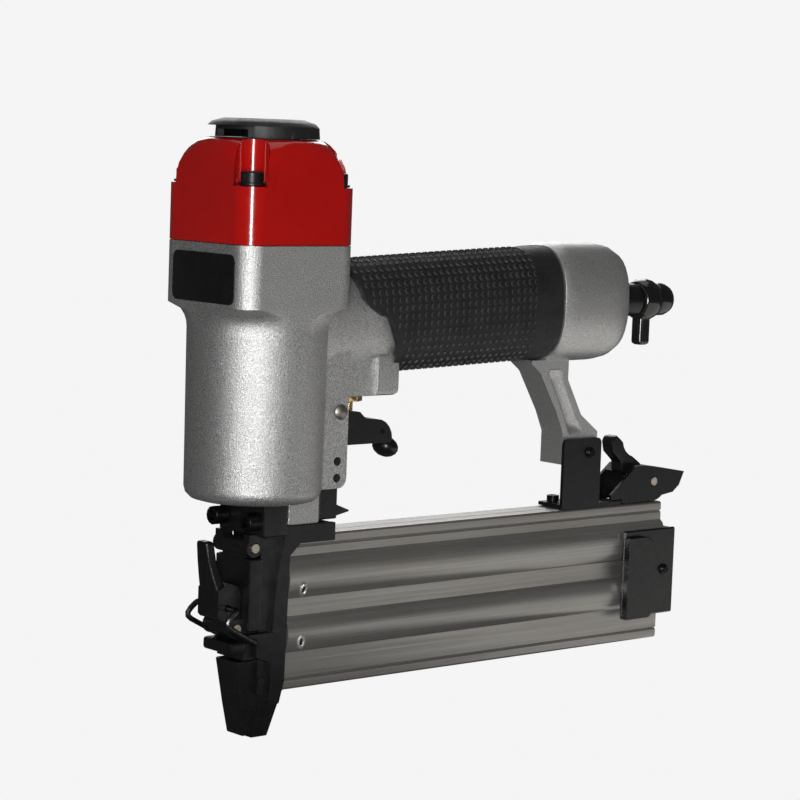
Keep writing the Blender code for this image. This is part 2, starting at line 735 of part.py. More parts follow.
def build_body():
    rings = []
    for step in range(4):
        angle = math.pi / 2 * step / 3
        radius = CYL_RADIUS - CYL_RIM * (1 - math.sin(angle))
        rings.append(rounded_square(radius, radius, CYL_BOTTOM + CYL_RIM * (1 - math.cos(angle))))
    wide = CYL_RADIUS + CYL_DRAFT
    rings.append(rounded_square(wide, wide, COVE_BOTTOM))
    for step in range(1, 5):
        share = step / 4
        bend = 1 - math.sqrt(1 - share * share)
        rings.append(rounded_square(mix(wide, HEAD_HALF, bend), mix(wide, HEAD_CORNER, bend),
                                    COVE_BOTTOM + COVE_HEIGHT * share))
    rings.append(rounded_square(HEAD_HALF, HEAD_CORNER, HEAD_TOP))
    body = loft("body", rings)

    root_start = ROOT_END - ROOT_LENGTH
    join(body, loft("body_handle", [tube_ring(x) for x in root_stations() + [HANDLE_END]]))
    ear_centre = (EAR_REAR - EAR_CORNER, EAR_BOTTOM + EAR_CORNER)
    ear_top = handle_axis(EAR_REAR) - 0.6 * TUBE_HALF_HEIGHT
    ear = [(root_start, EAR_BOTTOM), *arc(ear_centre, EAR_CORNER, -90, 0, 4),
           (EAR_REAR, ear_top), (root_start, ear_top)]
    join(body, prism("body_ears", ear, "XZ", -EAR_HALF, EAR_HALF))
    join(body, waisted_boss("body_valve_boss"))
    guide_boss_bottom = GUIDE_WEB_TOP + 2 * CLEARANCE
    join(body, box("body_guide_boss", (GUIDE_BLOCK_REAR + CLEARANCE, -GUIDE_BOSS_HALF, guide_boss_bottom),
                   (GUIDE_BOSS_REAR, GUIDE_BOSS_HALF, BORE_FLOOR - CLEARANCE), GUIDE_BOSS_EDGE))

    cut(body, rod("body_bore", BORE_RADIUS, (0, 0, BORE_FLOOR), (0, 0, HEAD_TOP + BODY_FLOOR), ROUND_SIDES))
    cavity = [oval(x, handle_axis(x), TUBE_HALF_WIDTH - TUBE_WALL, TUBE_HALF_HEIGHT - TUBE_WALL)
              for x in (SLEEVE_OUTER * 0.8, HANDLE_END + TUBE_WALL)]
    cut(body, loft("body_reservoir", cavity))
    cut(body, rod("body_blade_hole", BLADE_HOLE, (0, 0, CYL_BOTTOM - BODY_FLOOR),
                  (0, 0, BORE_FLOOR + BODY_FLOOR)))
    slot_front = STAY_FRONT - CLEARANCE
    cut(body, box("body_trigger_slot", (slot_front, -TRIGGER_SLOT_HALF, EAR_BOTTOM - EAR_CORNER),
                  (EAR_REAR + EAR_CORNER, TRIGGER_SLOT_HALF, VALVE_BOSS_BOTTOM - TRIGGER_SLOT_ROOF)))
    bore_low = (VALVE_X, 0, VALVE_BOSS_BOTTOM - VALVE_RADIUS)
    bore_high = (VALVE_X, 0, handle_axis(VALVE_X))
    cut(body, rod("body_valve_bore", VALVE_RADIUS + CLEARANCE, bore_low, bore_high, 16))
    cut(body, cross_rod("body_trigger_pin_hole", TRIGGER_PIN + CLEARANCE, TRIGGER_X, TRIGGER_Z, 2 * EAR_HALF))
    for index, z in enumerate(STAY_PIN_Z):
        cut(body, cross_rod("body_stay_pin_hole_%d" % index, STAY_PIN_RADIUS + CLEARANCE, STAY_PIN_X, z,
                            2 * EAR_HALF))
    hole_floor = BOLT_SEAT - BOLT_REACH - BOLT_SHANK
    for index, (x, y) in enumerate(corner_places()):
        cut(body, rod("body_bolt_hole_%d" % index, BOLT_SHANK + CLEARANCE, (x, y, hole_floor),
                      (x, y, HEAD_TOP + BODY_FLOOR)))
    for index, side in enumerate((-1, 1)):
        y = side * SCREW_SPREAD
        cut(body, rod("body_screw_hole_%d" % index, SCREW_RADIUS + CLEARANCE, (0, y, SCREW_Z),
                      (GUIDE_BOSS_REAR - SCREW_RADIUS, y, SCREW_Z)))
    add_part(body, "cast")


def pocket_outline(x, y):
    """Bolt pocket in plan: round inside, and open through the cap's corner."""
    outward = math.degrees(math.atan2(y, x))
    far = 3 * BOLT_POCKET
    direction = Vector((math.cos(math.radians(outward)), math.sin(math.radians(outward))))
    points = arc((x, y), BOLT_POCKET, outward + 90, outward + 270, 10)
    first = Vector(points[0]) + direction * far
    last = Vector(points[-1]) + direction * far
    return points + [tuple(last), tuple(first)]


def build_cap():
    shoulder = CAP_TOP - CAP_SHOULDER
    rings = [rounded_square(HEAD_HALF, HEAD_CORNER, CAP_BOTTOM)]
    for step in range(8):
        angle = math.pi / 2 * step / 7
        half = mix(CAP_TOP_RADIUS, HEAD_HALF, math.cos(angle) ** SHOULDER_FULLNESS)
        corner = mix(HEAD_CORNER, half, math.sin(angle) ** 2)
        rings.append(rounded_square(half, corner, shoulder + CAP_SHOULDER * math.sin(angle)))
    cap = loft("cylinder_cap", rings)
    below = CAP_BOTTOM - CAP_ROOF
    cut(cap, rod("cap_cavity", CAP_CAVITY_RADIUS, (0, 0, below), (0, 0, CAVITY_TOP), ROUND_SIDES))
    recess_half = HEAD_HALF - GASKET_INSET
    recess_corner = HEAD_CORNER - GASKET_INSET
    recess = [(x, y) for x, y, _ in rounded_square(recess_half, recess_corner, 0)]
    recess_top = CAP_BOTTOM + GASKET_THICKNESS + CLEARANCE
    cut(cap, prism("cap_gasket_recess", recess, "XY", below, recess_top))
    for index, (x, y) in enumerate(corner_places()):
        cut(cap, prism("cap_pocket_%d" % index, pocket_outline(x, y), "XY", BOLT_SEAT, CAP_TOP + CAP_ROOF))
        cut(cap, rod("cap_bolt_hole_%d" % index, BOLT_SHANK + CLEARANCE, (x, y, CAP_BOTTOM - CAP_ROOF),
                     (x, y, BOLT_SEAT + CAP_ROOF)))
        port = PORT_CIRCLE / (BOLT_PLACE * math.sqrt(2))
        cut(cap, rod("cap_port_%d" % index, PORT_RADIUS, (x * port, y * port, CAVITY_TOP - CAP_ROOF),
                     (x * port, y * port, CAP_TOP + CAP_ROOF), 10))
    cut(cap, rod("cap_centre_hole", COVER_BOLT + CLEARANCE, (0, 0, CAVITY_TOP - CAP_ROOF),
                 (0, 0, CAP_TOP + CAP_ROOF)))
    add_part(cap, "red_paint")

    low = HEAD_TOP + CLEARANCE
    outline = [(x, y) for x, y, _ in rounded_square(recess_half - CLEARANCE, recess_corner - CLEARANCE, 0)]
    gasket = prism("cap_gasket", outline, "XY", low, low + GASKET_THICKNESS)
    gasket_bore = BORE_RADIUS + CLEARANCE
    cut(gasket, rod("gasket_bore", gasket_bore, (0, 0, low - CAP_ROOF), (0, 0, low + CAP_ROOF), ROUND_SIDES))
    for index, (x, y) in enumerate(corner_places()):
        cut(gasket, rod("gasket_hole_%d" % index, BOLT_SHANK + CLEARANCE, (x, y, low - CAP_ROOF),
                        (x, y, low + CAP_ROOF)))
    add_part(gasket, "seal")

    for index, (x, y) in enumerate(corner_places()):
        seat = (x, y, BOLT_SEAT + CLEARANCE)
        add_part(bolt("cap_bolt_%d" % (index + 1), seat, (0, 0, -1), BOLT_HEAD, BOLT_HEAD_HEIGHT, BOLT_SHANK,
                      BOLT_REACH, BOLT_WASHER, BOLT_WASHER_HEIGHT), "black_steel")


def build_exhaust():
    pivot = new_empty("exhaust_axis", (0, 0, COVER_BOTTOM), ROOT)
    flat = COVER_RADIUS - COVER_CHAMFER
    profile = [(0, COVER_TOP), (flat, COVER_TOP),
               (mix(flat, COVER_RADIUS, 0.72), mix(COVER_TOP, COVER_ROOF, 0.48)),
               (mix(flat, COVER_RADIUS, 0.95), COVER_ROOF), (COVER_RADIUS, COVER_BOTTOM), (0, COVER_BOTTOM)]
    cover = turned("exhaust_cover", profile)
    recess = COVER_RADIUS - COVER_WINDOW_DEPTH
    inner = recess - COVER_WALL
    below = COVER_BOTTOM - COVER_HEIGHT
    room = mix(COVER_BOTTOM, COVER_ROOF, 0.9)
    cut(cover, turned("cover_room", [(inner, room), (inner, below), (COVER_HUB, below), (COVER_HUB, room)],
                      closed=True))
    brim = arc((0, 0), 2 * COVER_RADIUS, COVER_OPEN_FROM, COVER_OPEN_TO, 8)
    brim += arc((0, 0), recess, COVER_OPEN_TO, COVER_OPEN_FROM, 12)
    cut(cover, prism("cover_brim", brim, "XY", below, COVER_ROOF))
    vent = arc((0, 0), 2 * COVER_RADIUS, COVER_VENT_FROM, COVER_VENT_TO, 4)
    vent += arc((0, 0), (COVER_HUB + inner) / 2, COVER_VENT_TO, COVER_VENT_FROM, 4)
    cut(cover, prism("cover_vent", vent, "XY", below, mix(COVER_BOTTOM, COVER_ROOF, 0.7)))
    flute_circle = COVER_RADIUS + COVER_FLUTE_RADIUS / 2
    for step in range(COVER_FLUTES):
        turn = COVER_OPEN_TO + 360 * (step + 0.75) / COVER_FLUTES
        if COVER_OPEN_FROM < turn % 360 < COVER_OPEN_TO:
            continue
        x = flute_circle * math.cos(math.radians(turn))
        y = flute_circle * math.sin(math.radians(turn))
        cut(cover, rod("cover_flute_%d" % step, COVER_FLUTE_RADIUS, (x, y, below), (x, y, COVER_ROOF), 6))
    head_floor = COVER_TOP - COVER_BOLT_HEAD_HEIGHT - 2 * CLEARANCE
    above = COVER_TOP + COVER_HEIGHT
    cut(cover, rod("cover_bolt_hole", COVER_BOLT + CLEARANCE, (0, 0, below), (0, 0, above)))
    cut(cover, rod("cover_bolt_seat", COVER_BOLT_HEAD + CLEARANCE, (0, 0, head_floor), (0, 0, above), 20))
    add_part(cover, "black_plastic", pivot)
    add_part(bolt("exhaust_bolt", (0, 0, head_floor + CLEARANCE), (0, 0, -1), COVER_BOLT_HEAD,
                  COVER_BOLT_HEAD_HEIGHT, COVER_BOLT, head_floor - CAVITY_TOP), "black_steel")


def seal_ring(name, outer, z, pivot):
    """Ring that sits in a groove and stands just clear of its walls."""
    low = z + CLEARANCE
    high = z + SEAL_HEIGHT - CLEARANCE
    inner = outer - SEAL_DEPTH + CLEARANCE
    crown = (high - low) * 0.25
    profile = [(outer - crown, high), (outer, high - crown), (outer, low + crown), (outer - crown, low),
               (inner, low), (inner, high)]
    add_part(turned(name, profile, closed=True), "seal", pivot)


def coil(name, radius, wire, low, high, turns):
    """Coil spring as one unbroken tube; prints the least gap between its curls."""
    curve = bpy.data.curves.new(name, "CURVE")
    curve.dimensions = "3D"
    curve.bevel_depth = wire
    curve.bevel_resolution = 1
    curve.use_fill_caps = True
    spline = curve.splines.new("POLY")
    count = turns * SPRING_POINTS
    spline.points.add(count)
    for index, point in enumerate(spline.points):
        angle = 2 * math.pi * index / SPRING_POINTS
        point.co = (radius * math.cos(angle), radius * math.sin(angle), mix(low, high, index / count), 1.0)
    print(name, "least gap between curls, mm:", round(((high - low) / turns - 2 * wire) * 1000, 2))
    return bpy.data.objects.new(name, curve)


def build_engine():
    """Sleeve, bumper, piston with its blade, and the head valve above them."""
    collar = BORE_RADIUS - CLEARANCE
    collar_top = SLEEVE_COLLAR_Z + SLEEVE_COLLAR_HEIGHT
    sleeve = [(SLEEVE_OUTER, SLEEVE_TOP), (SLEEVE_OUTER, collar_top), (collar, collar_top),
              (collar, SLEEVE_COLLAR_Z), (SLEEVE_OUTER, SLEEVE_COLLAR_Z), (SLEEVE_OUTER, SLEEVE_BOTTOM),
              (SLEEVE_INNER, SLEEVE_BOTTOM), (SLEEVE_INNER, SLEEVE_TOP)]
    add_part(turned("cylinder_sleeve", sleeve, closed=True), "aluminium")
    outer = SLEEVE_INNER - CLEARANCE
    top = BUMPER_BOTTOM + BUMPER_HEIGHT
    bumper = [(outer * 0.9, top), (outer, top - outer * 0.2), (outer, BUMPER_BOTTOM),
              (BLADE_HOLE, BUMPER_BOTTOM), (BLADE_HOLE, top)]
    add_part(turned("bumper", bumper, closed=True), "seal")

    stroke = new_empty("stroke_axis", (0, 0, PISTON_TOP), ROOT)
    groove = PISTON_TOP - (PISTON_HEIGHT + SEAL_HEIGHT) / 2
    waist = outer - SEAL_DEPTH
    edge = PISTON_HEIGHT * 0.07
    piston = [(0, PISTON_TOP), (outer - edge, PISTON_TOP), (outer, PISTON_TOP - edge),
              (outer, groove + SEAL_HEIGHT), (waist, groove + SEAL_HEIGHT), (waist, groove), (outer, groove),
              (outer, PISTON_BOTTOM), (0, PISTON_BOTTOM)]
    add_part(turned("piston", piston), "aluminium", stroke)
    seal_ring("piston_seal", outer, groove, stroke)
    blade_top = PISTON_BOTTOM - CLEARANCE
    add_part(box("driver_blade", (-BLADE_X, -BLADE_Y, BLADE_TIP), (BLADE_X, BLADE_Y, blade_top)),
             "bright_steel", stroke)

    lift = new_empty("head_valve_axis", (0, 0, HEAD_VALVE_TOP), ROOT)
    crown = CAP_CAVITY_RADIUS - CLEARANCE
    skirt = (SLEEVE_OUTER + BORE_RADIUS) / 2 - SEAL_DEPTH / 4
    groove = (HEAD_VALVE_STEP + HEAD_VALVE_TOP - SEAL_HEIGHT) / 2
    waist = crown - SEAL_DEPTH
    valve = [(crown, HEAD_VALVE_TOP), (crown, groove + SEAL_HEIGHT), (waist, groove + SEAL_HEIGHT),
             (waist, groove), (crown, groove), (crown, HEAD_VALVE_STEP), (skirt, HEAD_VALVE_STEP),
             (skirt, HEAD_VALVE_BOTTOM), (HEAD_VALVE_BORE, HEAD_VALVE_BOTTOM),
             (HEAD_VALVE_BORE, HEAD_VALVE_TOP)]
    add_part(turned("head_valve", valve, closed=True), "aluminium", lift)
    seal_ring("head_valve_seal", crown, groove, lift)
    add_part(coil("head_valve_spring", SPRING_RADIUS, SPRING_WIRE, HEAD_VALVE_TOP + SPRING_WIRE + CLEARANCE,
                  CAVITY_TOP - SPRING_WIRE - CLEARANCE, SPRING_TURNS), "wire")


def build_grip():
    lean = GRIP_REAR - GRIP_FRONT
    stations = [(GRIP_FRONT - GRIP_THICKNESS, 0.0), (ROOT_END, 0.0),
                (GRIP_FRONT + lean * 0.5, GRIP_SWELL * 0.67), (GRIP_FRONT + lean * 0.86, GRIP_SWELL),
                (GRIP_FRONT + lean * 0.93, GRIP_RIM), (GRIP_REAR - GRIP_RIM, GRIP_RIM),
                (GRIP_REAR, GRIP_SWELL)]
    rings = []
    for x, swell in stations:
        growth = GRIP_THICKNESS + swell
        rings.append(oval(x, handle_axis(x), TUBE_HALF_WIDTH + growth, TUBE_HALF_HEIGHT + growth))
    grip = loft("handle_grip", rings)
    inside = root_stations() + [GRIP_REAR + GRIP_THICKNESS]
    cut(grip, loft("grip_bore", [tube_ring(x, CLEARANCE) for x in inside]))
    cut(grip, valve_boss_box("grip_boss_gap", CLEARANCE))
    top = handle_axis(GRIP_FRONT) + 2 * TUBE_HALF_HEIGHT
    bottom = handle_axis(GRIP_FRONT) - 2 * TUBE_HALF_HEIGHT
    ahead = GRIP_FRONT - ROOT_LENGTH
    shelf = GRIP_STEP_X - GRIP_THICKNESS
    tube_top = handle_axis(GRIP_FRONT) + TUBE_HALF_HEIGHT
    nose = [(ahead, top), (GRIP_FRONT, top), (GRIP_FRONT, tube_top),
            (mix(GRIP_FRONT, shelf, 0.35), mix(GRIP_STEP_Z, tube_top, 0.35)),
            (mix(GRIP_FRONT, shelf, 0.65), GRIP_STEP_Z + GRIP_THICKNESS), (shelf, GRIP_STEP_Z),
            (GRIP_STEP_X, GRIP_STEP_Z),
            (mix(GRIP_STEP_X, GRIP_LOWER_FRONT, 0.6), mix(GRIP_STEP_Z, bottom, 0.2)),
            (GRIP_LOWER_FRONT, mix(GRIP_STEP_Z, bottom, 0.32)), (GRIP_LOWER_FRONT, bottom), (ahead, bottom)]
    cut(grip, prism("grip_front_line", nose, "XZ", -2 * TUBE_HALF_HEIGHT, 2 * TUBE_HALF_HEIGHT))
    add_part(grip, "rubber")


def strut_outline(inset):
    """Side view of the strut, from the end cap down to the bracket; inset gives its groove."""
    cap_low = END_CAP_AXIS - END_CAP_HALF_HEIGHT
    top = cap_low + END_CAP_WALL * 0.7
    foot_rear = FOOT_FRONT + FOOT_LENGTH
    grip_low = handle_axis(GRIP_REAR) - TUBE_HALF_HEIGHT - GRIP_THICKNESS - GRIP_RIM
    ledge = grip_low - CLEARANCE
    drop = ledge - FOOT_TOP
    heel = FOOT_FRONT - END_CAP_FRONT
    knee_front = (FOOT_FRONT - heel * 0.33, FOOT_TOP + drop * 0.28)
    knee_rear = (mix(FOOT_FRONT, foot_rear, 0.507), FOOT_TOP + FOOT_HEIGHT * 0.556)
    neck_rear = (mix(FOOT_FRONT, foot_rear, 0.088), mix(FOOT_TOP, cap_low, 0.75))
    front = END_CAP_FRONT + STRUT_STEP
    lip = FOOT_FRONT - heel * 1.6
    throat = (FOOT_FRONT - heel * 1.2, ledge - drop * 0.17)
    if inset:
        return [(END_CAP_FRONT + inset, cap_low - inset), (throat[0] + inset * 1.43, throat[1]),
                (knee_front[0] + inset, knee_front[1]), (FOOT_FRONT + inset, FOOT_TOP),
                (FOOT_FRONT + inset, FOOT_TOP - inset), (foot_rear - 2 * inset, FOOT_TOP - inset),
                (knee_rear[0] - inset, knee_rear[1] - inset * 0.4), (neck_rear[0] - inset, neck_rear[1]),
                (neck_rear[0] - inset, cap_low - inset)]
    return [(front, top), (front, ledge), (lip, ledge), (lip - STRUT_STEP, ledge - 2 * STRUT_STEP), throat,
            knee_front, (FOOT_FRONT, FOOT_TOP), (FOOT_FRONT, FOOT_BOTTOM), (foot_rear, FOOT_BOTTOM),
            (foot_rear, FOOT_TOP), knee_rear, neck_rear, (neck_rear[0], top)]


def build_end_cap():
    """Rear closure of the handle, cast in one with the strut that holds the magazine."""
    rear = END_CAP_LENGTH
    shape = [(0.0, 0.16), (0.06, 0.03), (0.15, 0.0), (0.62, 0.02), (0.78, 0.14), (0.9, 0.41), (0.97, 0.73),
             (1.0, 1.0)]
    rings = []
    for share, inset in shape:
        crown = END_CAP_CROWN * inset
        rings.append(oval(END_CAP_FRONT + rear * share, END_CAP_AXIS, END_CAP_HALF_WIDTH - crown,
                          END_CAP_HALF_HEIGHT - crown))
    cap = loft("end_cap", rings)
    join(cap, prism("end_cap_strut", strut_outline(0.0), "XZ", -STRUT_HALF, STRUT_HALF))
    groove_floor = STRUT_HALF - STRUT_GROOVE
    past = 2 * STRUT_HALF
    for side, low, high in (("left", -past, -groove_floor), ("right", groove_floor, past)):
        cut(cap, prism("strut_groove_" + side, strut_outline(STRUT_RIB), "XZ", low, high))
    socket_floor = HANDLE_END + 2 * CLEARANCE + GASKET_THICKNESS + CLEARANCE
    cut(cap, loft("end_cap_socket", [tube_ring(END_CAP_FRONT - END_CAP_WALL, CLEARANCE),
                                     tube_ring(socket_floor, CLEARANCE)]))
    room_end = END_CAP_REAR - 2 * END_CAP_WALL
    cut(cap, loft("end_cap_room", [oval(x, END_CAP_AXIS, TUBE_HALF_WIDTH - TUBE_WALL / 2,
                                        TUBE_HALF_HEIGHT - TUBE_WALL / 2)
                                   for x in (socket_floor - END_CAP_WALL, room_end)]))
    cut(cap, rod("end_cap_inlet", INLET_THREAD + CLEARANCE, (room_end - END_CAP_WALL, 0, END_CAP_AXIS),
                 (END_CAP_REAR + END_CAP_WALL, 0, END_CAP_AXIS), 16))
    seat_front = (END_CAP_REAR - INLET_SEAT, 0, END_CAP_AXIS)
    seat_rear = (END_CAP_REAR + END_CAP_WALL, 0, END_CAP_AXIS)
    cut(cap, rod("end_cap_inlet_seat", INLET_RADIUS + CLEARANCE, seat_front, seat_rear, 24))
    screw_hole = SMALL_SCREW_SHANK + CLEARANCE
    cut(cap, cross_rod("strut_screw_hole", screw_hole, STRUT_SCREW_X, STRUT_SCREW_Z, 2 * STRUT_HALF))
    add_part(cap, "cast")

    front = HANDLE_END + CLEARANCE
    seal = loft("end_cap_seal", [tube_ring(x) for x in (front, front + GASKET_THICKNESS)])
    cut(seal, loft("end_cap_seal_hole", [oval(x, handle_axis(HANDLE_END), TUBE_HALF_WIDTH - TUBE_WALL / 2,
                                              TUBE_HALF_HEIGHT - TUBE_WALL / 2)
                                         for x in (front - TUBE_WALL, front + TUBE_WALL)]))
    add_part(seal, "seal")


def build_inlet():
    step = END_CAP_REAR - INLET_SEAT + CLEARANCE
    end = step + INLET_LENGTH
    profile = [(INLET_RADIUS, INLET_LENGTH), (INLET_RADIUS, 0.0), (INLET_THREAD, 0.0),
               (INLET_THREAD, -2 * END_CAP_WALL), (INLET_BORE, -2 * END_CAP_WALL), (INLET_BORE, INLET_LENGTH)]
    fitting = turned("inlet_fitting", profile, (step, 0, END_CAP_AXIS), "X", 16, closed=True)
    add_part(fitting, "black_steel")

    ball_centre = DUST_BALL * 0.64
    neck = math.degrees(math.acos(ball_centre / DUST_BALL))
    waist = math.degrees(math.asin(DUST_KNOB * 0.93 / DUST_BALL))
    ball = arc((0.0, ball_centre), DUST_BALL, 90 - waist, neck - 90, 6)
    knob_edge = DUST_KNOB * 0.35
    profile = [(0.0, DUST_LENGTH), (DUST_KNOB - knob_edge * 1.6, DUST_LENGTH),
               (DUST_KNOB - knob_edge * 0.4, DUST_LENGTH - knob_edge * 0.6),
               (DUST_KNOB, DUST_LENGTH - knob_edge * 1.6), (DUST_KNOB, DUST_LENGTH * 0.62), *ball, (0.0, 0.0)]
    cap = turned("dust_cap", profile, (end + CLEARANCE, 0, END_CAP_AXIS), "X", 20)
    tab_x = end + ball_centre
    tab_low = (tab_x - DUST_TAB_WIDTH / 2, -DUST_TAB_THICKNESS / 2, END_CAP_AXIS - DUST_TAB_DROP)
    tab_high = (tab_x + DUST_TAB_WIDTH / 2, DUST_TAB_THICKNESS / 2, END_CAP_AXIS - DUST_BALL * 0.5)
    tab = box("dust_cap_tab", tab_low, tab_high, DUST_TAB_EDGE)
    join(cap, tab)
    add_part(cap, "black_plastic")


def build_trigger():
    pivot = new_empty("trigger_axis", (TRIGGER_X, 0, TRIGGER_Z), ROOT)
    x, z = TRIGGER_X, TRIGGER_Z
    bottom = z - TRIGGER_DEPTH
    rear = x + TRIGGER_LENGTH
    crest = z - TRIGGER_CREST_DROP
    nose = (rear - TRIGGER_NOSE, bottom + TRIGGER_DEPTH * 0.11)
    hump = x + VALVE_SETBACK
    outline = [(x + TRIGGER_EYE, bottom), (rear - TRIGGER_NOSE * 0.12, bottom),
               *arc(nose, TRIGGER_NOSE, 0, 90, 5),
               (hump + TRIGGER_EYE * 0.8, crest), (hump, z - TRIGGER_CREST_DROP * 0.28),
               (x + TRIGGER_EYE * 1.4, z),
               *arc((x, z), TRIGGER_EYE, 60, 240, 6), (x + TRIGGER_EYE * 0.17, bottom + TRIGGER_EYE * 0.56)]
    trigger = prism("trigger", outline, "XZ", -TRIGGER_HALF, TRIGGER_HALF)
    bm = bmesh.new()
    pad_shape = Matrix.Diagonal((FINGER_PAD_LENGTH, FINGER_PAD_HALF, FINGER_PAD_DEPTH, 1.0))
    bmesh.ops.create_uvsphere(bm, u_segments=16, v_segments=8, radius=1.0, matrix=pad_shape)
    pad = mesh_object("trigger_pad", bm)
    pad.location = (rear + FINGER_PAD_OVERHANG, 0, bottom - FINGER_PAD_DEPTH * 0.62)
    pad.rotation_euler = (0, math.radians(FINGER_PAD_TILT), 0)
    join(trigger, pad)
    web = TRIGGER_HALF - TRIGGER_WEB
    channel_low = (x + TRIGGER_EYE + TRIGGER_PIN, -web, STEM_POCKET_Z)
    channel_high = (VALVE_X + VALVE_SETBACK * 0.55, web, z + TRIGGER_DEPTH)
    cut(trigger, box("trigger_channel", channel_low, channel_high))
    cut(trigger, cross_rod("trigger_eye", TRIGGER_PIN + CLEARANCE, x, z, 2 * TRIGGER_HALF))
    add_part(trigger, "black_steel", pivot)

    seat = EAR_HALF + CLEARANCE
    dome = TRIGGER_PIN_HEAD * 0.4
    pin = turned("trigger_pin", [(0, seat + dome), (TRIGGER_PIN_HEAD * 0.65, seat + dome * 0.75),
                                 (TRIGGER_PIN_HEAD, seat), (TRIGGER_PIN, seat), (TRIGGER_PIN, -seat - dome),
                                 (0, -seat - dome)], (x, 0, z), "-Y", BOLT_SIDES)
    add_part(pin, "bright_steel")

    nut_top = VALVE_BOSS_BOTTOM - CLEARANCE
    nut_bottom = nut_top - VALVE_NUT_HEIGHT
    valve = rod("trigger_valve", VALVE_NUT, (VALVE_X, 0, nut_bottom), (VALVE_X, 0, nut_top), 6)
    valve_top = nut_bottom + VALVE_LENGTH
    join(valve, rod("trigger_valve_barrel", VALVE_RADIUS, (VALVE_X, 0, nut_top - VALVE_NUT_HEIGHT / 2),
                    (VALVE_X, 0, valve_top), 16))
    cut(valve, rod("trigger_valve_bore", STEM_RADIUS + CLEARANCE, (VALVE_X, 0, nut_bottom - VALVE_NUT),
                   (VALVE_X, 0, valve_top + VALVE_NUT)))
    add_part(valve, "brass")
    stem_axis = new_empty("stem_axis", (VALVE_X, 0, nut_bottom), ROOT)
    add_part(rod("valve_stem", STEM_RADIUS, (VALVE_X, 0, STEM_POCKET_Z + CLEARANCE),
                 (VALVE_X, 0, valve_top + STEM_RADIUS)), "brass", stem_axis)


def build_stay():
    """Block between the trigger ears that carries the rear of the driver guide."""
    low = GUIDE_WEB_TOP + 2 * CLEARANCE
    half = TRIGGER_SLOT_HALF - CLEARANCE
    rear = STAY_FRONT + STAY_LENGTH
    stay = box("guide_stay", (STAY_FRONT, -half, low), (rear, half, STAY_TOP), STAY_EDGE, 1)
    root = rear - STAY_EDGE * 1.7
    tip = rear + STAY_FIN
    fin = [(root, low + STAY_FIN_HEIGHT), (tip, low + STAY_FIN_HEIGHT * 0.47),
           (tip, low + STAY_FIN_HEIGHT * 0.37), (root, low + STAY_FIN_HEIGHT * 0.1)]
    join(stay, prism("guide_stay_fin", fin, "XZ", -half * 0.8, half * 0.8))
    hole = STAY_PIN_RADIUS + CLEARANCE
    for index, z in enumerate(STAY_PIN_Z):
        cut(stay, cross_rod("guide_stay_hole_%d" % index, hole, STAY_PIN_X, z, 2 * half))
    add_part(stay, "black_steel")
    for index, z in enumerate(STAY_PIN_Z):
        add_part(cross_rod("stay_pin_%d" % (index + 1), STAY_PIN_RADIUS, STAY_PIN_X, z, EAR_HALF + CLEARANCE),
                 "black_steel")


def guide_wall_outline():
    """Side wall of the driver guide: arm along the magazine, nose strip, and the hook for the wire bail."""
    hook_low = BAIL_END_Z + BAIL_WIRE + CLEARANCE
    hook_top = hook_low + HOOK_THICKNESS
    hook_root = BAIL_END_X + BAIL_WIRE + CLEARANCE
    hook_tip = hook_root - HOOK_LENGTH
    strip_front = GUIDE_REAR - GUIDE_STRIP
    arm_low = GUIDE_WEB_TOP - GUIDE_ARM_DEPTH
    toe = MAG_BOTTOM - GUIDE_WEB
    return [(strip_front + GUIDE_STRIP * 0.75, GUIDE_WEB_TOP), (GUIDE_ARM_REAR, GUIDE_WEB_TOP),
            (GUIDE_ARM_REAR, arm_low), (GUIDE_REAR + GUIDE_STRIP * 0.68, arm_low),
            (GUIDE_REAR, arm_low - GUIDE_STRIP * 0.62),
            (GUIDE_REAR - GUIDE_MARGIN / 3, arm_low - 2 * GUIDE_STRIP),
            (GUIDE_REAR - GUIDE_STRIP * 0.14, MAG_BOTTOM + GUIDE_STRIP * 0.62),
            (GUIDE_REAR - GUIDE_STRIP * 0.44, toe), (strip_front - GUIDE_STRIP * 0.14, toe),
            (strip_front - GUIDE_MARGIN / 3, NOSE_SHOULDER - NOSE_GAP * 1.4),
            (hook_root, NOSE_SHOULDER + NOSE_GAP * 2.8), (hook_root, hook_low), (hook_tip, hook_low),
            (hook_tip, hook_top), (strip_front, hook_top),
            (strip_front + GUIDE_STRIP * 0.19, mix(DOOR_STEP_Z, HINGE_Z, 0.62))]


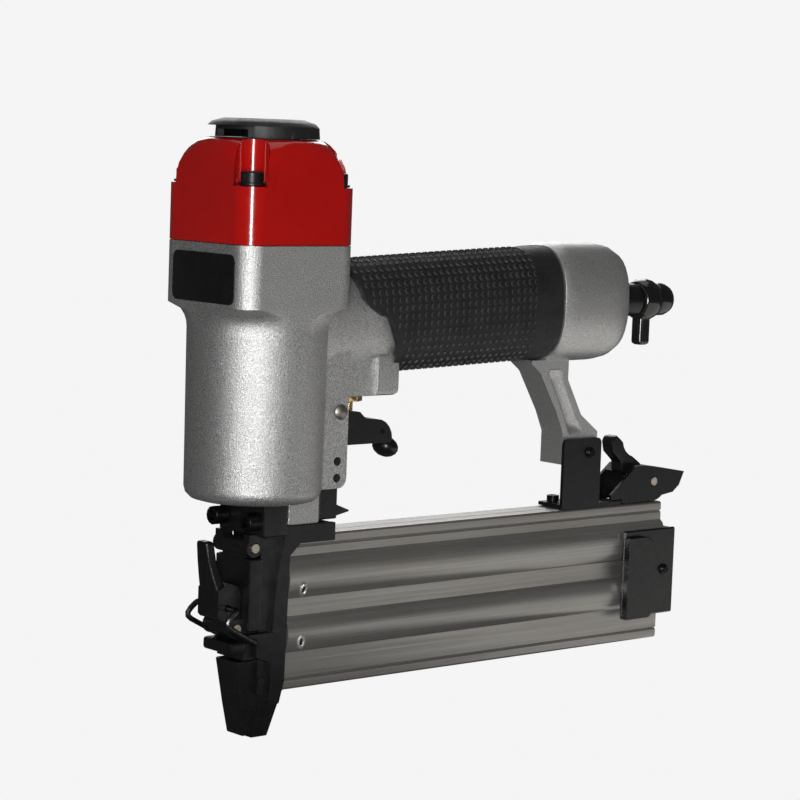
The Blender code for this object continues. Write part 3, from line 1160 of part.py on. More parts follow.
def build_driver_guide():
    sunk = CLEARANCE / 2
    low = (GUIDE_FRONT, -GUIDE_HALF, MAG_BOTTOM)
    guide = box("driver_guide", low, (GUIDE_REAR, GUIDE_HALF, GUIDE_WEB_TOP - GUIDE_BLOCK_EDGE))
    join(guide, box("guide_block", (GUIDE_BLOCK_FRONT, -GUIDE_BLOCK_HALF, GUIDE_BLOCK_BOTTOM),
                    (GUIDE_BLOCK_REAR, GUIDE_BLOCK_HALF, GUIDE_HEIGHT), GUIDE_BLOCK_EDGE))
    for side, low, high in (("left", -WALL_OUTER, -GUIDE_HALF + CLEARANCE),
                            ("right", GUIDE_HALF - CLEARANCE, WALL_OUTER)):
        join(guide, prism("guide_wall_" + side, guide_wall_outline(), "XZ", low, high))
    join(guide, box("guide_web", (GUIDE_FRONT + GUIDE_BLOCK_EDGE, -WALL_OUTER + sunk, GUIDE_WEB_BOTTOM),
                    (GUIDE_ARM_REAR - sunk, WALL_OUTER - sunk, GUIDE_WEB_TOP - sunk)))
    tip_top = MAG_BOTTOM + NOSE_PAD_HALF
    tip_low = MAG_BOTTOM - GUIDE_WEB - sunk
    rear_tip = [plate_ring(GUIDE_MARGIN, GUIDE_REAR - GUIDE_STRIP * 0.12, WALL_OUTER - 2 * sunk, tip_top),
                plate_ring(-GUIDE_MARGIN, GUIDE_REAR - GUIDE_STRIP * 0.37, WALL_OUTER - GUIDE_WALL * 0.64,
                           tip_low),
                plate_ring(-DRIVE_SLOT_X, NOSE_PAD_REAR, NOSE_PAD_HALF, 0.0)]
    join(guide, loft("guide_tip_rear", rear_tip))
    seam = CLEARANCE
    front_tip = [plate_ring(-NOSE_FRONT_DEPTH, seam, NOSE_FRONT_HALF, NOSE_SHOULDER),
                 plate_ring(-NOSE_FRONT_DEPTH * 0.7, seam, NOSE_FRONT_HALF * 0.87, NOSE_SHOULDER * 0.4),
                 plate_ring(-NOSE_FRONT_DEPTH * 0.5, seam, NOSE_FRONT_HALF * 0.72, NOSE_FRONT_LIFT)]
    join(guide, round_edges(loft("guide_tip_front", front_tip), NOSE_EDGE))
    for side in (-1, 1):
        name = "guide_lug_%s" % ("left" if side < 0 else "right")
        inner_end = (HINGE_X, side * LUG_INNER, HINGE_Z)
        outer_end = (HINGE_X, side * LUG_OUTER, HINGE_Z)
        join(guide, rod(name, LUG_RADIUS, inner_end, outer_end, 16))
        y_low, y_high = sorted((side * (LUG_INNER + sunk), side * (LUG_OUTER - sunk)))
        neck_low = (HINGE_X - LUG_RADIUS * 0.7, y_low, HINGE_Z)
        neck_high = (GUIDE_BLOCK_FRONT + LUG_RADIUS * 0.5, y_high, GUIDE_BLOCK_BOTTOM + GUIDE_BLOCK_EDGE)
        join(guide, box(name + "_neck", neck_low, neck_high))
        y = side * SCREW_SPREAD
        hole_front = (GUIDE_BLOCK_FRONT - SCREW_RADIUS, y, SCREW_Z)
        hole_rear = (GUIDE_BLOCK_REAR + SCREW_RADIUS, y, SCREW_Z)
        cut(guide, rod("guide_screw_hole_" + name, SCREW_RADIUS + CLEARANCE, hole_front, hole_rear))
    past = GUIDE_BLOCK_EDGE
    cut(guide, box("guide_drive_slot", (GUIDE_FRONT - CLEARANCE, -DRIVE_SLOT_Y, -past),
                   (DRIVE_SLOT_X, DRIVE_SLOT_Y, GUIDE_HEIGHT + past)))
    cut(guide, box("guide_nail_slot", (0.0, -NAIL_SLOT_HALF, MAG_BOTTOM + MAG_STRIP),
                   (GUIDE_REAR + past, NAIL_SLOT_HALF, MAG_TOP - MAG_STRIP)))
    cut(guide, cross_rod("guide_hinge_hole", HINGE_PIN_RADIUS + CLEARANCE, HINGE_X, HINGE_Z, 2 * LUG_OUTER))
    add_part(guide, "black_steel")
    for index, side in enumerate((-1, 1)):
        seat = (GUIDE_BLOCK_FRONT - CLEARANCE, side * SCREW_SPREAD, SCREW_Z)
        shank = GUIDE_BOSS_REAR - GUIDE_BLOCK_FRONT - 3 * SCREW_RADIUS
        add_part(bolt("guide_screw_%d" % (index + 1), seat, (1, 0, 0), SCREW_HEAD, SCREW_HEAD_HEIGHT,
                      SCREW_RADIUS, shank), "black_steel")
    pin_half = LUG_OUTER + PIN_STANDOUT
    add_part(cross_rod("door_hinge_pin", HINGE_PIN_RADIUS, HINGE_X, HINGE_Z, pin_half), "bright_steel")


def build_nose_door():
    hinge = new_empty("door_axis", (HINGE_X, 0, HINGE_Z), ROOT)
    sunk = CLEARANCE / 2
    door_top = HINGE_Z - LUG_RADIUS - 2 * CLEARANCE
    high = (DOOR_BACK, DOOR_HALF, door_top)
    door = box("nose_door", (DOOR_FRONT, -DOOR_HALF, DOOR_STEP_Z), high, DOOR_EDGE)
    join(door, box("door_lower", (DOOR_FRONT + sunk, -DOOR_LOWER_HALF, DOOR_BOTTOM),
                   (DOOR_BACK - sunk, DOOR_LOWER_HALF, DOOR_STEP_Z + 2 * DOOR_EDGE)))
    knuckle_half = LUG_INNER - CLEARANCE
    join(door, cross_rod("door_knuckle", KNUCKLE_RADIUS, HINGE_X, HINGE_Z, knuckle_half, 16))
    join(door, box("door_neck", (DOOR_FRONT + CLEARANCE, -knuckle_half + sunk, door_top - 2 * DOOR_EDGE),
                   (HINGE_X + KNUCKLE_RADIUS * 0.9, knuckle_half - sunk, HINGE_Z)))
    join(door, box("door_lip", (DOOR_FRONT - LIP_REACH, -LIP_HALF, LIP_BOTTOM),
                   (DOOR_FRONT + 2 * DOOR_EDGE, LIP_HALF, LIP_BOTTOM + LIP_HEIGHT), LIP_EDGE))
    ear_inner = LEVER_HALF + CLEARANCE
    ear_outer = MAG_HALF
    ear_radius = LEVER_EYE + 2 * CLEARANCE
    for side in (-1, 1):
        name = "door_ear_%s" % ("left" if side < 0 else "right")
        inner_end = (LEVER_X, side * ear_inner, LEVER_Z)
        outer_end = (LEVER_X, side * ear_outer, LEVER_Z)
        join(door, rod(name, ear_radius, inner_end, outer_end, 16))
        y_low, y_high = sorted((side * (ear_inner + sunk), side * (ear_outer - sunk)))
        join(door, box(name + "_neck", (LEVER_X, y_low, LEVER_Z - ear_radius * 0.95),
                       (DOOR_FRONT + 2 * DOOR_EDGE, y_high, LEVER_Z + ear_radius * 0.95)))
    cut(door, cross_rod("door_hinge_hole", HINGE_PIN_RADIUS + CLEARANCE, HINGE_X, HINGE_Z, 2 * LUG_OUTER))
    cut(door, cross_rod("door_lever_hole", HINGE_PIN_RADIUS + CLEARANCE, LEVER_X, LEVER_Z, 2 * LIP_HALF))
    add_part(door, "black_steel", hinge)
    pin_half = ear_outer + PIN_STANDOUT
    add_part(cross_rod("lever_pin", HINGE_PIN_RADIUS, LEVER_X, LEVER_Z, pin_half), "bright_steel", hinge)

    pivot = new_empty("lever_axis", (LEVER_X, 0, LEVER_Z), ROOT)
    back = LEVER_X + LEVER_EYE - CLEARANCE / 2
    front = LEVER_X - LEVER_DEPTH
    top = LEVER_Z + LEVER_TOP
    tab_x = LEVER_X - TAB_LEAN
    tab_z = LEVER_Z + TAB_TOP
    outline = [(back, LEVER_Z + LEVER_EYE * 0.53), (back, top - TAB_EDGE),
               (back - TAB_EDGE, top + TAB_EDGE * 0.7), (front + TAB_THICKNESS * 0.9, top + TAB_EDGE * 2),
               (front, top), (front, LEVER_Z + LEVER_EYE * 1.5),
               (front + TAB_EDGE, LEVER_Z + LEVER_EYE * 1.1),
               (LEVER_X - LEVER_EYE, LEVER_Z + LEVER_EYE * 0.8),
               *arc((LEVER_X, LEVER_Z), LEVER_EYE, 150, 332, 7)]
    lever = prism("latch_lever", outline[::-1], "XZ", -LEVER_HALF, LEVER_HALF)
    rings = []
    for share, lean, narrow in ((-0.1, 0.0, 0.0), (0.25, 0.42, 0.45), (0.6, 0.78, 0.85), (1.0, 1.0, 1.0)):
        x = mix(front, tab_x, lean)
        thick = TAB_THICKNESS * (1.0 - 0.2 * lean)
        half = mix(LEVER_HALF - CLEARANCE, TAB_TOP_HALF, narrow)
        rings.append(plate_ring(x, x + thick, half, mix(top, tab_z, share)))
    join(lever, round_edges(loft("lever_tab", rings), TAB_EDGE, 3))
    cut(lever, cross_rod("lever_eye", HINGE_PIN_RADIUS + CLEARANCE, LEVER_X, LEVER_Z, 2 * LEVER_HALF))
    cut(lever, cross_rod("lever_bail_hole", BAIL_WIRE + CLEARANCE, BAIL_X, BAIL_Z, 2 * LEVER_HALF))
    add_part(lever, "black_steel", pivot)
    build_bail()


def rounded_route(points, radii, steps):
    """Row of points whose corners are rounded; the radii are for the corners from each end inwards."""
    points = [Vector(point) for point in points]
    route = [points[0]]
    last = len(points) - 1
    for index in range(1, last):
        order = min(index, last - index) - 1
        if order >= len(radii):
            continue
        corner = points[index]
        before = (points[index - 1] - corner).normalized()
        after = (points[index + 1] - corner).normalized()
        turn = before.angle(after)
        reach = radii[order] / math.tan(turn / 2)
        start = corner + before * reach
        end = corner + after * reach
        for step in range(steps + 1):
            share = step / steps
            first = start.lerp(corner, share)
            second = corner.lerp(end, share)
            route.append(first.lerp(second, share))
    route.append(points[-1])
    return route


def build_bail():
    """Bent wire from the latch lever to the hooks on the guide walls."""
    pivot = new_empty("bail_axis", (BAIL_X, 0, BAIL_Z), ROOT)
    elbow = (BAIL_X - BAIL_ELBOW_X, BAIL_HALF, BAIL_Z - BAIL_ELBOW_Z)
    half = [(BAIL_END_X, BAIL_END_HALF, BAIL_END_Z), (BAIL_END_X, BAIL_HALF, BAIL_END_Z), elbow,
            (BAIL_X, BAIL_HALF, BAIL_Z), (BAIL_X, 0.0, BAIL_Z)]
    route = half + [(x, -y, z) for x, y, z in reversed(half[:-1])]
    route = rounded_route(route, (BAIL_WIRE, BAIL_BEND, BAIL_WIRE * 1.4), 3)
    curve = bpy.data.curves.new("wire_bail", "CURVE")
    curve.dimensions = "3D"
    curve.bevel_depth = BAIL_WIRE
    curve.bevel_resolution = 2
    curve.use_fill_caps = True
    spline = curve.splines.new("POLY")
    spline.points.add(len(route) - 1)
    for point, place in zip(spline.points, route):
        point.co = (*place, 1.0)
    add_part(bpy.data.objects.new("wire_bail", curve), "wire", pivot)


def outer_side(side):
    """Outer line of a magazine half from top to bottom, with its grooves and two humps."""
    def groove(z):
        wide = MAG_GROOVE * 0.7
        floor = MAG_HALF - MAG_GROOVE
        return [(MAG_HALF, z + wide), (floor, z + wide * 0.4), (floor, z - wide * 0.4), (MAG_HALF, z - wide)]
    edge = MAG_GROOVE
    line = [(MAG_HALF - edge, MAG_TOP), (MAG_HALF, MAG_TOP - edge), *groove(MAG_TOP - MAG_STRIP)]
    for centre, half in zip(MAG_HUMP_Z, MAG_HUMP_HALF):
        for step in range(7):
            angle = math.pi * step / 6
            line.append((MAG_HALF + MAG_HUMP * math.sin(angle), centre + half * math.cos(angle)))
    line += [*groove(MAG_BOTTOM + MAG_STRIP), (MAG_HALF, MAG_BOTTOM + edge), (MAG_HALF - edge, MAG_BOTTOM)]
    return [(side * y, z) for y, z in line]


def notch(z, half, start, floor):
    """Square step in a section line, going up past height z."""
    return [(start, z - half), (floor, z - half), (floor, z + half), (start, z + half)]


def build_magazine():
    slide = new_empty("magazine_axis", (MAG_REAR, 0, MAG_TOP), ROOT)
    face = -NAIL_SLOT_HALF
    seat = face - CLEARANCE
    rib_z = (MAG_BOTTOM + MAG_STRIP / 2, MAG_TOP - MAG_STRIP / 2)
    half_rib = RUNNER_HEIGHT / 2
    keyway = half_rib + CLEARANCE
    keyway_floor = seat - RUNNER_DEPTH - CLEARANCE
    inner = notch(rib_z[0], keyway, seat, keyway_floor)
    for z in reversed(MAG_HUMP_Z):
        inner += notch(z, CARRIAGE_HOLLOW, seat, -CARRIAGE_DEPTH)
    inner += notch(rib_z[1], keyway, seat, keyway_floor)
    near = outer_side(-1) + [(seat, MAG_BOTTOM)] + inner + [(seat, MAG_TOP)]
    sliding = prism("magazine_sliding_half", near, "YZ", MAG_FRONT, MAG_REAR)
    hole_near = (PULL_SCREW_X, -PULL_OUTER, PULL_SCREW_Z)
    hole_far = (PULL_SCREW_X, -MAG_HALF / 2, PULL_SCREW_Z)
    cut(sliding, rod("pull_screw_hole", SMALL_SCREW_SHANK + CLEARANCE, hole_near, hole_far))
    add_part(sliding, "aluminium", slide)

    hollow_low = MAG_HUMP_Z[0] - CARRIAGE_HOLLOW
    hollow_high = MAG_HUMP_Z[0] + CARRIAGE_HOLLOW
    slot_low = MAG_BOTTOM + MAG_STRIP
    slot_high = MAG_TOP - MAG_STRIP
    inner = [(face, MAG_BOTTOM), *notch(rib_z[0], half_rib, face, face - RUNNER_DEPTH), (face, slot_low),
             (-face, slot_low)]
    for z in reversed(MAG_HUMP_Z):
        inner += notch(z, CARRIAGE_HOLLOW, -face, CARRIAGE_DEPTH)
    inner += [(-face, slot_high), (face, slot_high), *notch(rib_z[1], half_rib, face, face - RUNNER_DEPTH)]
    far = outer_side(1) + inner + [(face, MAG_TOP)]
    fixed = prism("magazine_fixed_half", far, "YZ", MAG_FRONT, MAG_REAR)
    for index, x in enumerate(BRACKET_BOLT_X):
        cut(fixed, rod("bracket_bolt_hole_%d" % index, SMALL_SCREW_SHANK + CLEARANCE,
                       (x, BRACKET_BOLT_Y, MAG_TOP - BRACKET_BOLT_REACH), (x, BRACKET_BOLT_Y, BRACKET_FLOOR)))
    add_part(fixed, "aluminium")

    feed = new_empty("pusher_axis", (MAG_FRONT, 0, MAG_HUMP_Z[0]), ROOT)
    pusher_front = MAG_FRONT + CLEARANCE
    carriage_rear = pusher_front + PUSHER_LENGTH
    pusher = box("pusher", (pusher_front, -PUSHER_HALF, slot_low + CLEARANCE),
                 (carriage_rear + 2 * PUSHER_HALF, PUSHER_HALF, slot_high - CLEARANCE))
    join(pusher, box("pusher_carriage", (CARRIAGE_FRONT, 0.0, hollow_low + CLEARANCE),
                     (carriage_rear, CARRIAGE_DEPTH - CLEARANCE, hollow_high - CLEARANCE)))
    add_part(pusher, "black_steel", feed)
    roll_x = carriage_rear + CLEARANCE + ROLL_RADIUS
    add_part(rod("pusher_spring", ROLL_RADIUS, (roll_x, -face + CLEARANCE, MAG_HUMP_Z[0]),
                 (roll_x, CARRIAGE_DEPTH - CLEARANCE, MAG_HUMP_Z[0]), 16), "bright_steel", feed)
    build_thumb_pull(slide)
    build_rear_latch()


def build_thumb_pull(slide):
    """Black grip that wraps the rear of the sliding half."""
    rear = MAG_REAR + CLEARANCE + PULL_END
    top = PULL_BOTTOM + PULL_HEIGHT
    inner = MAG_HALF / 4
    low = (PULL_FRONT, -PULL_OUTER, PULL_BOTTOM)
    pull = box("thumb_pull", low, (rear, -PULL_INNER, top), PULL_EDGE, 1)
    sunk = CLEARANCE
    join(pull, box("pull_end_wall", (MAG_REAR + CLEARANCE, -PULL_OUTER + PULL_EDGE, PULL_BOTTOM + sunk),
                   (rear - sunk, -inner, top - sunk), PULL_EDGE, 1))
    front = PULL_FRONT + sunk
    back = front + PULL_HUMP_LENGTH
    hump_top = top - PULL_HUMP_RISE
    hump_low = PULL_BOTTOM - 2 * CLEARANCE
    corner = PULL_HUMP_CORNER
    foot = corner / 2
    outline = [(front, hump_low), *arc((back - foot, hump_low + foot), foot, -90, 0, 3),
               *arc((back - corner, hump_top - corner), corner, 0, 90, 5), (front, hump_top)]
    hump = prism("pull_hump", outline, "XZ", -PULL_OUTER - PULL_HUMP_RISE, -PULL_INNER - sunk)
    join(pull, round_edges(hump, PULL_HUMP_EDGE, 3))
    notch_z = PULL_SCREW_Z + PULL_NOTCH_RISE
    notch_x = rear + PULL_NOTCH / 2
    cut(pull, rod("pull_notch", PULL_NOTCH, (notch_x, -2 * PULL_OUTER, notch_z), (notch_x, 0, notch_z)))
    cut(pull, rod("pull_hole", SMALL_SCREW_SHANK + CLEARANCE, (PULL_SCREW_X, -2 * PULL_OUTER, PULL_SCREW_Z),
                  (PULL_SCREW_X, -MAG_HALF, PULL_SCREW_Z)))
    add_part(pull, "black_plastic", slide)
    add_part(pan_screw("thumb_pull_screw", (PULL_SCREW_X, -PULL_OUTER - CLEARANCE, PULL_SCREW_Z), (0, 1, 0),
                       PULL_OUTER - MAG_HALF / 2 - CLEARANCE), "black_steel", slide)


def build_bracket():
    """Angle bracket that ties the strut's foot to the fixed half of the magazine."""
    sunk = CLEARANCE / 2
    bracket = box("strut_bracket", (BRACKET_FRONT, -CHEEK_OUTER + sunk, ON_MAG),
                  (BRACKET_REAR, CHEEK_OUTER - sunk, BRACKET_FLOOR))
    cheek_rear = BRACKET_CHEEK_FRONT + CHEEK_LENGTH
    corner = BRACKET_CORNER
    cheek = [(BRACKET_CHEEK_FRONT, ON_MAG + sunk), (cheek_rear, ON_MAG + sunk),
             *arc((cheek_rear - corner, BRACKET_TOP - corner), corner, 0, 90, 3),
             *arc((BRACKET_CHEEK_FRONT + corner, BRACKET_TOP - corner), corner, 90, 180, 3)]
    join(bracket, prism("bracket_cheek", cheek, "XZ", -CHEEK_OUTER, -CHEEK_INNER))
    cut(bracket, cross_rod("bracket_screw_hole", SMALL_SCREW_SHANK + CLEARANCE, STRUT_SCREW_X, STRUT_SCREW_Z,
                           2 * CHEEK_OUTER))
    for index, x in enumerate(BRACKET_BOLT_X):
        below = (x, BRACKET_BOLT_Y, ON_MAG - BRACKET_PLATE)
        above = (x, BRACKET_BOLT_Y, BRACKET_FLOOR + BRACKET_PLATE)
        cut(bracket, rod("bracket_hole_%d" % index, SMALL_SCREW_SHANK + CLEARANCE, below, above))
    add_part(bracket, "black_steel")
    seat = (STRUT_SCREW_X, -CHEEK_OUTER - CLEARANCE, STRUT_SCREW_Z)
    add_part(pan_screw("strut_screw", seat, (0, 1, 0), CHEEK_OUTER + STRUT_HALF - CLEARANCE), "black_steel")
    for index, x in enumerate(BRACKET_BOLT_X):
        seat = (x, BRACKET_BOLT_Y, BRACKET_FLOOR + CLEARANCE)
        add_part(bolt("bracket_bolt_%d" % (index + 1), seat, (0, 0, -1), BRACKET_BOLT_HEAD,
                      BRACKET_BOLT_HEIGHT, SMALL_SCREW_SHANK, BRACKET_BOLT_REACH), "black_steel")


def horn_outline(tip_x, tip_z, root_x, root_z):
    """Side view of the latch's thumb horn, which curves up and forward from its root."""
    rise = tip_z - root_z
    thick = HORN_THICKNESS
    foot = root_z - thick * 0.55
    rear_curve = arc((root_x + thick * 0.9, root_z + rise * 0.9), thick * 1.6, 258, 190, 4)
    return [(root_x + thick * 1.5, foot), (root_x + thick * 1.6, root_z), *rear_curve,
            (tip_x + thick * 0.95, tip_z - rise * 0.1), (tip_x + thick * 0.6, tip_z),
            (tip_x + thick * 0.1, tip_z), (tip_x - thick * 0.15, tip_z - rise * 0.2),
            (tip_x + thick * 0.05, tip_z - rise * 0.55),
            (root_x - thick * 0.9, root_z + rise * 0.1), (root_x - thick * 0.9, foot)]


def build_rear_latch():
    pivot = new_empty("rear_latch_axis", (LATCH_X, 0, LATCH_Z), ROOT)
    slide = bpy.data.objects["magazine_axis"]
    inner = LATCH_HALF - LATCH_CHEEK
    low = ON_MAG
    step = BRACKET_FLOOR + 2 * CLEARANCE
    past_plate = BRACKET_REAR + 2 * CLEARANCE
    reach = LATCH_Z - low - CLEARANCE
    back = LATCH_X - LATCH_DEPTH * 1.5
    crest = LATCH_Z + LATCH_DEPTH
    heel = (LATCH_X + LATCH_TAIL * 0.65, LATCH_Z - LATCH_DEPTH * 0.76)
    cheek = [(LATCH_TOE, step + CLEARANCE), (LATCH_TOE + CLEARANCE, step), (past_plate, step),
             (past_plate, low + CLEARANCE), (LATCH_X, low + CLEARANCE),
             *arc((LATCH_X, LATCH_Z), reach, -85, -48, 3), heel,
             (LATCH_REAR - LATCH_TAIL * 0.15, LATCH_Z - LATCH_DEPTH * 0.36),
             (LATCH_REAR, LATCH_Z + LATCH_DEPTH * 0.46),
             (LATCH_X - LATCH_DEPTH * 0.28, LATCH_Z + LATCH_DEPTH * 0.93),
             (back, crest), (LATCH_TOE, step + LATCH_DEPTH * 0.3)]
    latch = prism("rear_latch", cheek, "XZ", -LATCH_HALF, LATCH_HALF)
    horn = horn_outline(LATCH_X - HORN_BACK, LATCH_Z + HORN_HEIGHT, back, crest)
    join(latch, round_edges(prism("rear_latch_horn", horn, "XZ", -HORN_HALF, HORN_HALF), HORN_EDGE))
    room = (LATCH_X + LATCH_BLOCK_LENGTH * 0.7, inner, LATCH_Z + LATCH_DEPTH * 0.58)
    cut(latch, box("rear_latch_channel", (LATCH_TOE - LATCH_CHEEK, -inner, low - LATCH_CHEEK), room))
    cut(latch, cross_rod("rear_latch_hole", LATCH_PIN + CLEARANCE, LATCH_X, LATCH_Z, 2 * LATCH_HALF))
    add_part(latch, "black_steel", pivot)
    block_rear = LATCH_X + LATCH_BLOCK_LENGTH * 0.42
    block_near = -inner + CLEARANCE
    block_low = (block_rear - LATCH_BLOCK_LENGTH, block_near, ON_MAG)
    block_high = (block_rear, block_near + LATCH_BLOCK_WIDTH, LATCH_Z + LATCH_DEPTH * 0.44)
    block = box("rear_latch_block", block_low, block_high, LATCH_BLOCK_EDGE, 1)
    cut(block, cross_rod("rear_latch_block_hole", LATCH_PIN + CLEARANCE, LATCH_X, LATCH_Z, 2 * LATCH_HALF))
    add_part(block, "black_steel", slide)
    pin_half = LATCH_HALF + LATCH_PIN_STANDOUT
    add_part(cross_rod("rear_latch_pin", LATCH_PIN, LATCH_X, LATCH_Z, pin_half), "bright_steel", slide)


clear_scene()
PARTS = new_collection("pneumatic_nail_gun")
CUTTERS = new_collection("cutters")
ROOT = new_empty("tool_frame", (-NOSE_PAD_X, 0, 0))
build_body()
build_cap()
build_exhaust()
build_engine()
build_grip()
build_end_cap()
build_inlet()
build_trigger()
build_stay()
build_driver_guide()
build_nose_door()
build_magazine()
build_bracket()
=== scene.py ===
"""Looks for the brad nailer: materials, surface detail, floor, lights and the camera."""
import math

import bmesh
import bpy
from mathutils import Matrix, Vector


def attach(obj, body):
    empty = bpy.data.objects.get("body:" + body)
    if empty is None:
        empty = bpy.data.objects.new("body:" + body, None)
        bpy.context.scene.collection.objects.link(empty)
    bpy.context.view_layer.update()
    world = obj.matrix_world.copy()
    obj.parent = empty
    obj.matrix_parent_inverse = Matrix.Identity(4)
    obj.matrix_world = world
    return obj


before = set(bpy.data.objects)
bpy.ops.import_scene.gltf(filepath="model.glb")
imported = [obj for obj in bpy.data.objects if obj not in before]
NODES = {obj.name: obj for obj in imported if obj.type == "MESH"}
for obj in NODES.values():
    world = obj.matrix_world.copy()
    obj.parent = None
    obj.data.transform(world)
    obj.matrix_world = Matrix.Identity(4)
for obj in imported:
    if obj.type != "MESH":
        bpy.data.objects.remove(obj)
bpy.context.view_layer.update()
SCENE = bpy.context.scene

# All lengths are in metres. Place of the driver's axis along X:
DRIVE_X = -0.0037
X_AXIS = Vector((1, 0, 0))
NEAR_SIDE = (0, -1, 0)
UPWARD = (0, 0, 1)

# Materials. Most values of a noise lie between these two.
NOISE_LOW = 0.3
NOISE_HIGH = 0.7
WHITE = (1.0, 1.0, 1.0)


def shader_of(name):
    material = bpy.data.materials.new(name)
    material.use_nodes = True
    return material, material.node_tree, material.node_tree.nodes["Principled BSDF"]


def scaled(amount, colour):
    return tuple(amount * channel for channel in colour)


def coordinates(tree, stretch):
    place = tree.nodes.new("ShaderNodeTexCoord")
    mapping = tree.nodes.new("ShaderNodeMapping")
    mapping.inputs["Scale"].default_value = stretch
    tree.links.new(place.outputs["Object"], mapping.inputs["Vector"])
    return mapping.outputs["Vector"]


def noise(tree, scale=1.0, detail=3.0, roughness=0.55, stretch=(1, 1, 1)):
    node = tree.nodes.new("ShaderNodeTexNoise")
    node.inputs["Scale"].default_value = scale
    node.inputs["Detail"].default_value = detail
    node.inputs["Roughness"].default_value = roughness
    tree.links.new(coordinates(tree, stretch), node.inputs["Vector"])
    return node.outputs["Fac"]


def ramp(tree, source, low, high, start=NOISE_LOW, end=NOISE_HIGH):
    node = tree.nodes.new("ShaderNodeValToRGB")
    node.color_ramp.elements[0].position = start
    node.color_ramp.elements[1].position = end
    node.color_ramp.elements[0].color = (*low, 1.0)
    node.color_ramp.elements[1].color = (*high, 1.0)
    tree.links.new(source, node.inputs["Fac"])
    return node.outputs["Color"]


def spread(tree, source, low, high):
    node = tree.nodes.new("ShaderNodeMapRange")
    node.inputs["From Min"].default_value = NOISE_LOW
    node.inputs["From Max"].default_value = NOISE_HIGH
    node.inputs["To Min"].default_value = low
    node.inputs["To Max"].default_value = high
    tree.links.new(source, node.inputs["Value"])
    return node.outputs["Result"]


def blend_colour(tree, share, first, second):
    node = tree.nodes.new("ShaderNodeMix")
    node.data_type = "RGBA"
    tree.links.new(share, node.inputs["Factor"])
    tree.links.new(first, node.inputs["A"])
    tree.links.new(second, node.inputs["B"])
    return node.outputs["Result"]


def paint(tree, shader, colour, roughness, metallic=0.0):
    tree.links.new(colour, shader.inputs["Base Color"])
    tree.links.new(roughness, shader.inputs["Roughness"])
    shader.inputs["Metallic"].default_value = metallic


def bump(tree, shader, height, strength, distance):
    node = tree.nodes.new("ShaderNodeBump")
    node.inputs["Strength"].default_value = strength
    node.inputs["Distance"].default_value = distance
    tree.links.new(height, node.inputs["Height"])
    tree.links.new(node.outputs["Normal"], shader.inputs["Normal"])


def cast_silver(name, dark, pale, rough, metallic, grain):
    """Silver die-casting: bright flakes over a fine grain, with soft cloudy patches."""
    material, tree, shader = shader_of(name)
    flake_noise = noise(tree, scale=2300, detail=2.0, roughness=0.7)
    flake_low = scaled(dark, (1.0, 1.0, 0.98))
    flake_high = scaled(pale, (1.0, 1.0, 0.99))
    flakes = ramp(tree, flake_noise, flake_low, flake_high, start=0.34, end=0.66)
    cloud_low = scaled(pale, (0.56, 0.56, 0.55))
    cloud_high = scaled(pale, (0.7, 0.7, 0.69))
    cloud = ramp(tree, noise(tree, scale=55, detail=4.0), cloud_low, cloud_high)
    share = spread(tree, noise(tree, scale=300, detail=2.0), low=0.1, high=0.45)
    roughness = spread(tree, noise(tree, scale=900, detail=2.0), *rough)
    paint(tree, shader, blend_colour(tree, share, flakes, cloud), roughness, metallic)
    bump(tree, shader, noise(tree, scale=2300, detail=2.0), strength=grain, distance=0.0003)
    return material


def gloss_red(name):
    """Red paint under a clear coat, with hardly any waviness."""
    material, tree, shader = shader_of(name)
    colour = ramp(tree, noise(tree, scale=40, detail=4.0), (0.44, 0.004, 0.003), (0.52, 0.006, 0.004))
    roughness = spread(tree, noise(tree, scale=300), low=0.16, high=0.24)
    paint(tree, shader, colour, roughness)
    shader.inputs["Specular IOR Level"].default_value = 0.3
    shader.inputs["Coat Weight"].default_value = 0.6
    shader.inputs["Coat Roughness"].default_value = 0.04
    bump(tree, shader, noise(tree, scale=420, detail=2.0), strength=0.06, distance=0.0004)
    return material


def black_finish(name, rough, dust=0.022, grain=1500, strength=0.2, metallic=0.0, lift=1.0, gleam=0.5):
    """Black oxide or moulded black, with faint grey rubbing and a fine grain; lift makes it greyer."""
    material, tree, shader = shader_of(name)
    base_low = scaled(lift, (0.0045, 0.0045, 0.005))
    base_high = scaled(lift, (0.0095, 0.0095, 0.0105))
    base = ramp(tree, noise(tree, scale=120, detail=5.0), base_low, base_high)
    worn_noise = noise(tree, scale=420, detail=6.0, roughness=0.7)
    worn = ramp(tree, worn_noise, (0.0055, 0.0055, 0.006), scaled(dust, WHITE), start=0.5, end=0.8)
    colour = blend_colour(tree, noise(tree, scale=65, detail=4.0), base, worn)
    roughness = spread(tree, noise(tree, scale=260, detail=4.0), *rough)
    paint(tree, shader, colour, roughness, metallic)
    shader.inputs["Specular IOR Level"].default_value = gleam
    bump(tree, shader, noise(tree, scale=grain), strength, distance=0.0002)
    return material


def drawn_aluminium(name):
    """Extrusion with drawing lines that run along X and darker oxide streaks."""
    material, tree, shader = shader_of(name)
    line_noise = noise(tree, detail=4.0, roughness=0.6, stretch=(9, 1500, 1500))
    lines = ramp(tree, line_noise, (0.30, 0.29, 0.275), (0.46, 0.45, 0.43))
    streak_noise = noise(tree, roughness=0.6, stretch=(4, 130, 130))
    streaks = ramp(tree, streak_noise, (0.24, 0.215, 0.19), (0.43, 0.42, 0.40))
    colour = blend_colour(tree, noise(tree, scale=30, detail=2.0), lines, streaks)
    rough_noise = noise(tree, roughness=0.6, stretch=(12, 700, 700))
    paint(tree, shader, colour, spread(tree, rough_noise, low=0.26, high=0.42), metallic=0.75)
    fine_lines = noise(tree, roughness=0.6, stretch=(15, 2400, 2400))
    bump(tree, shader, fine_lines, strength=0.12, distance=0.0002)
    return material


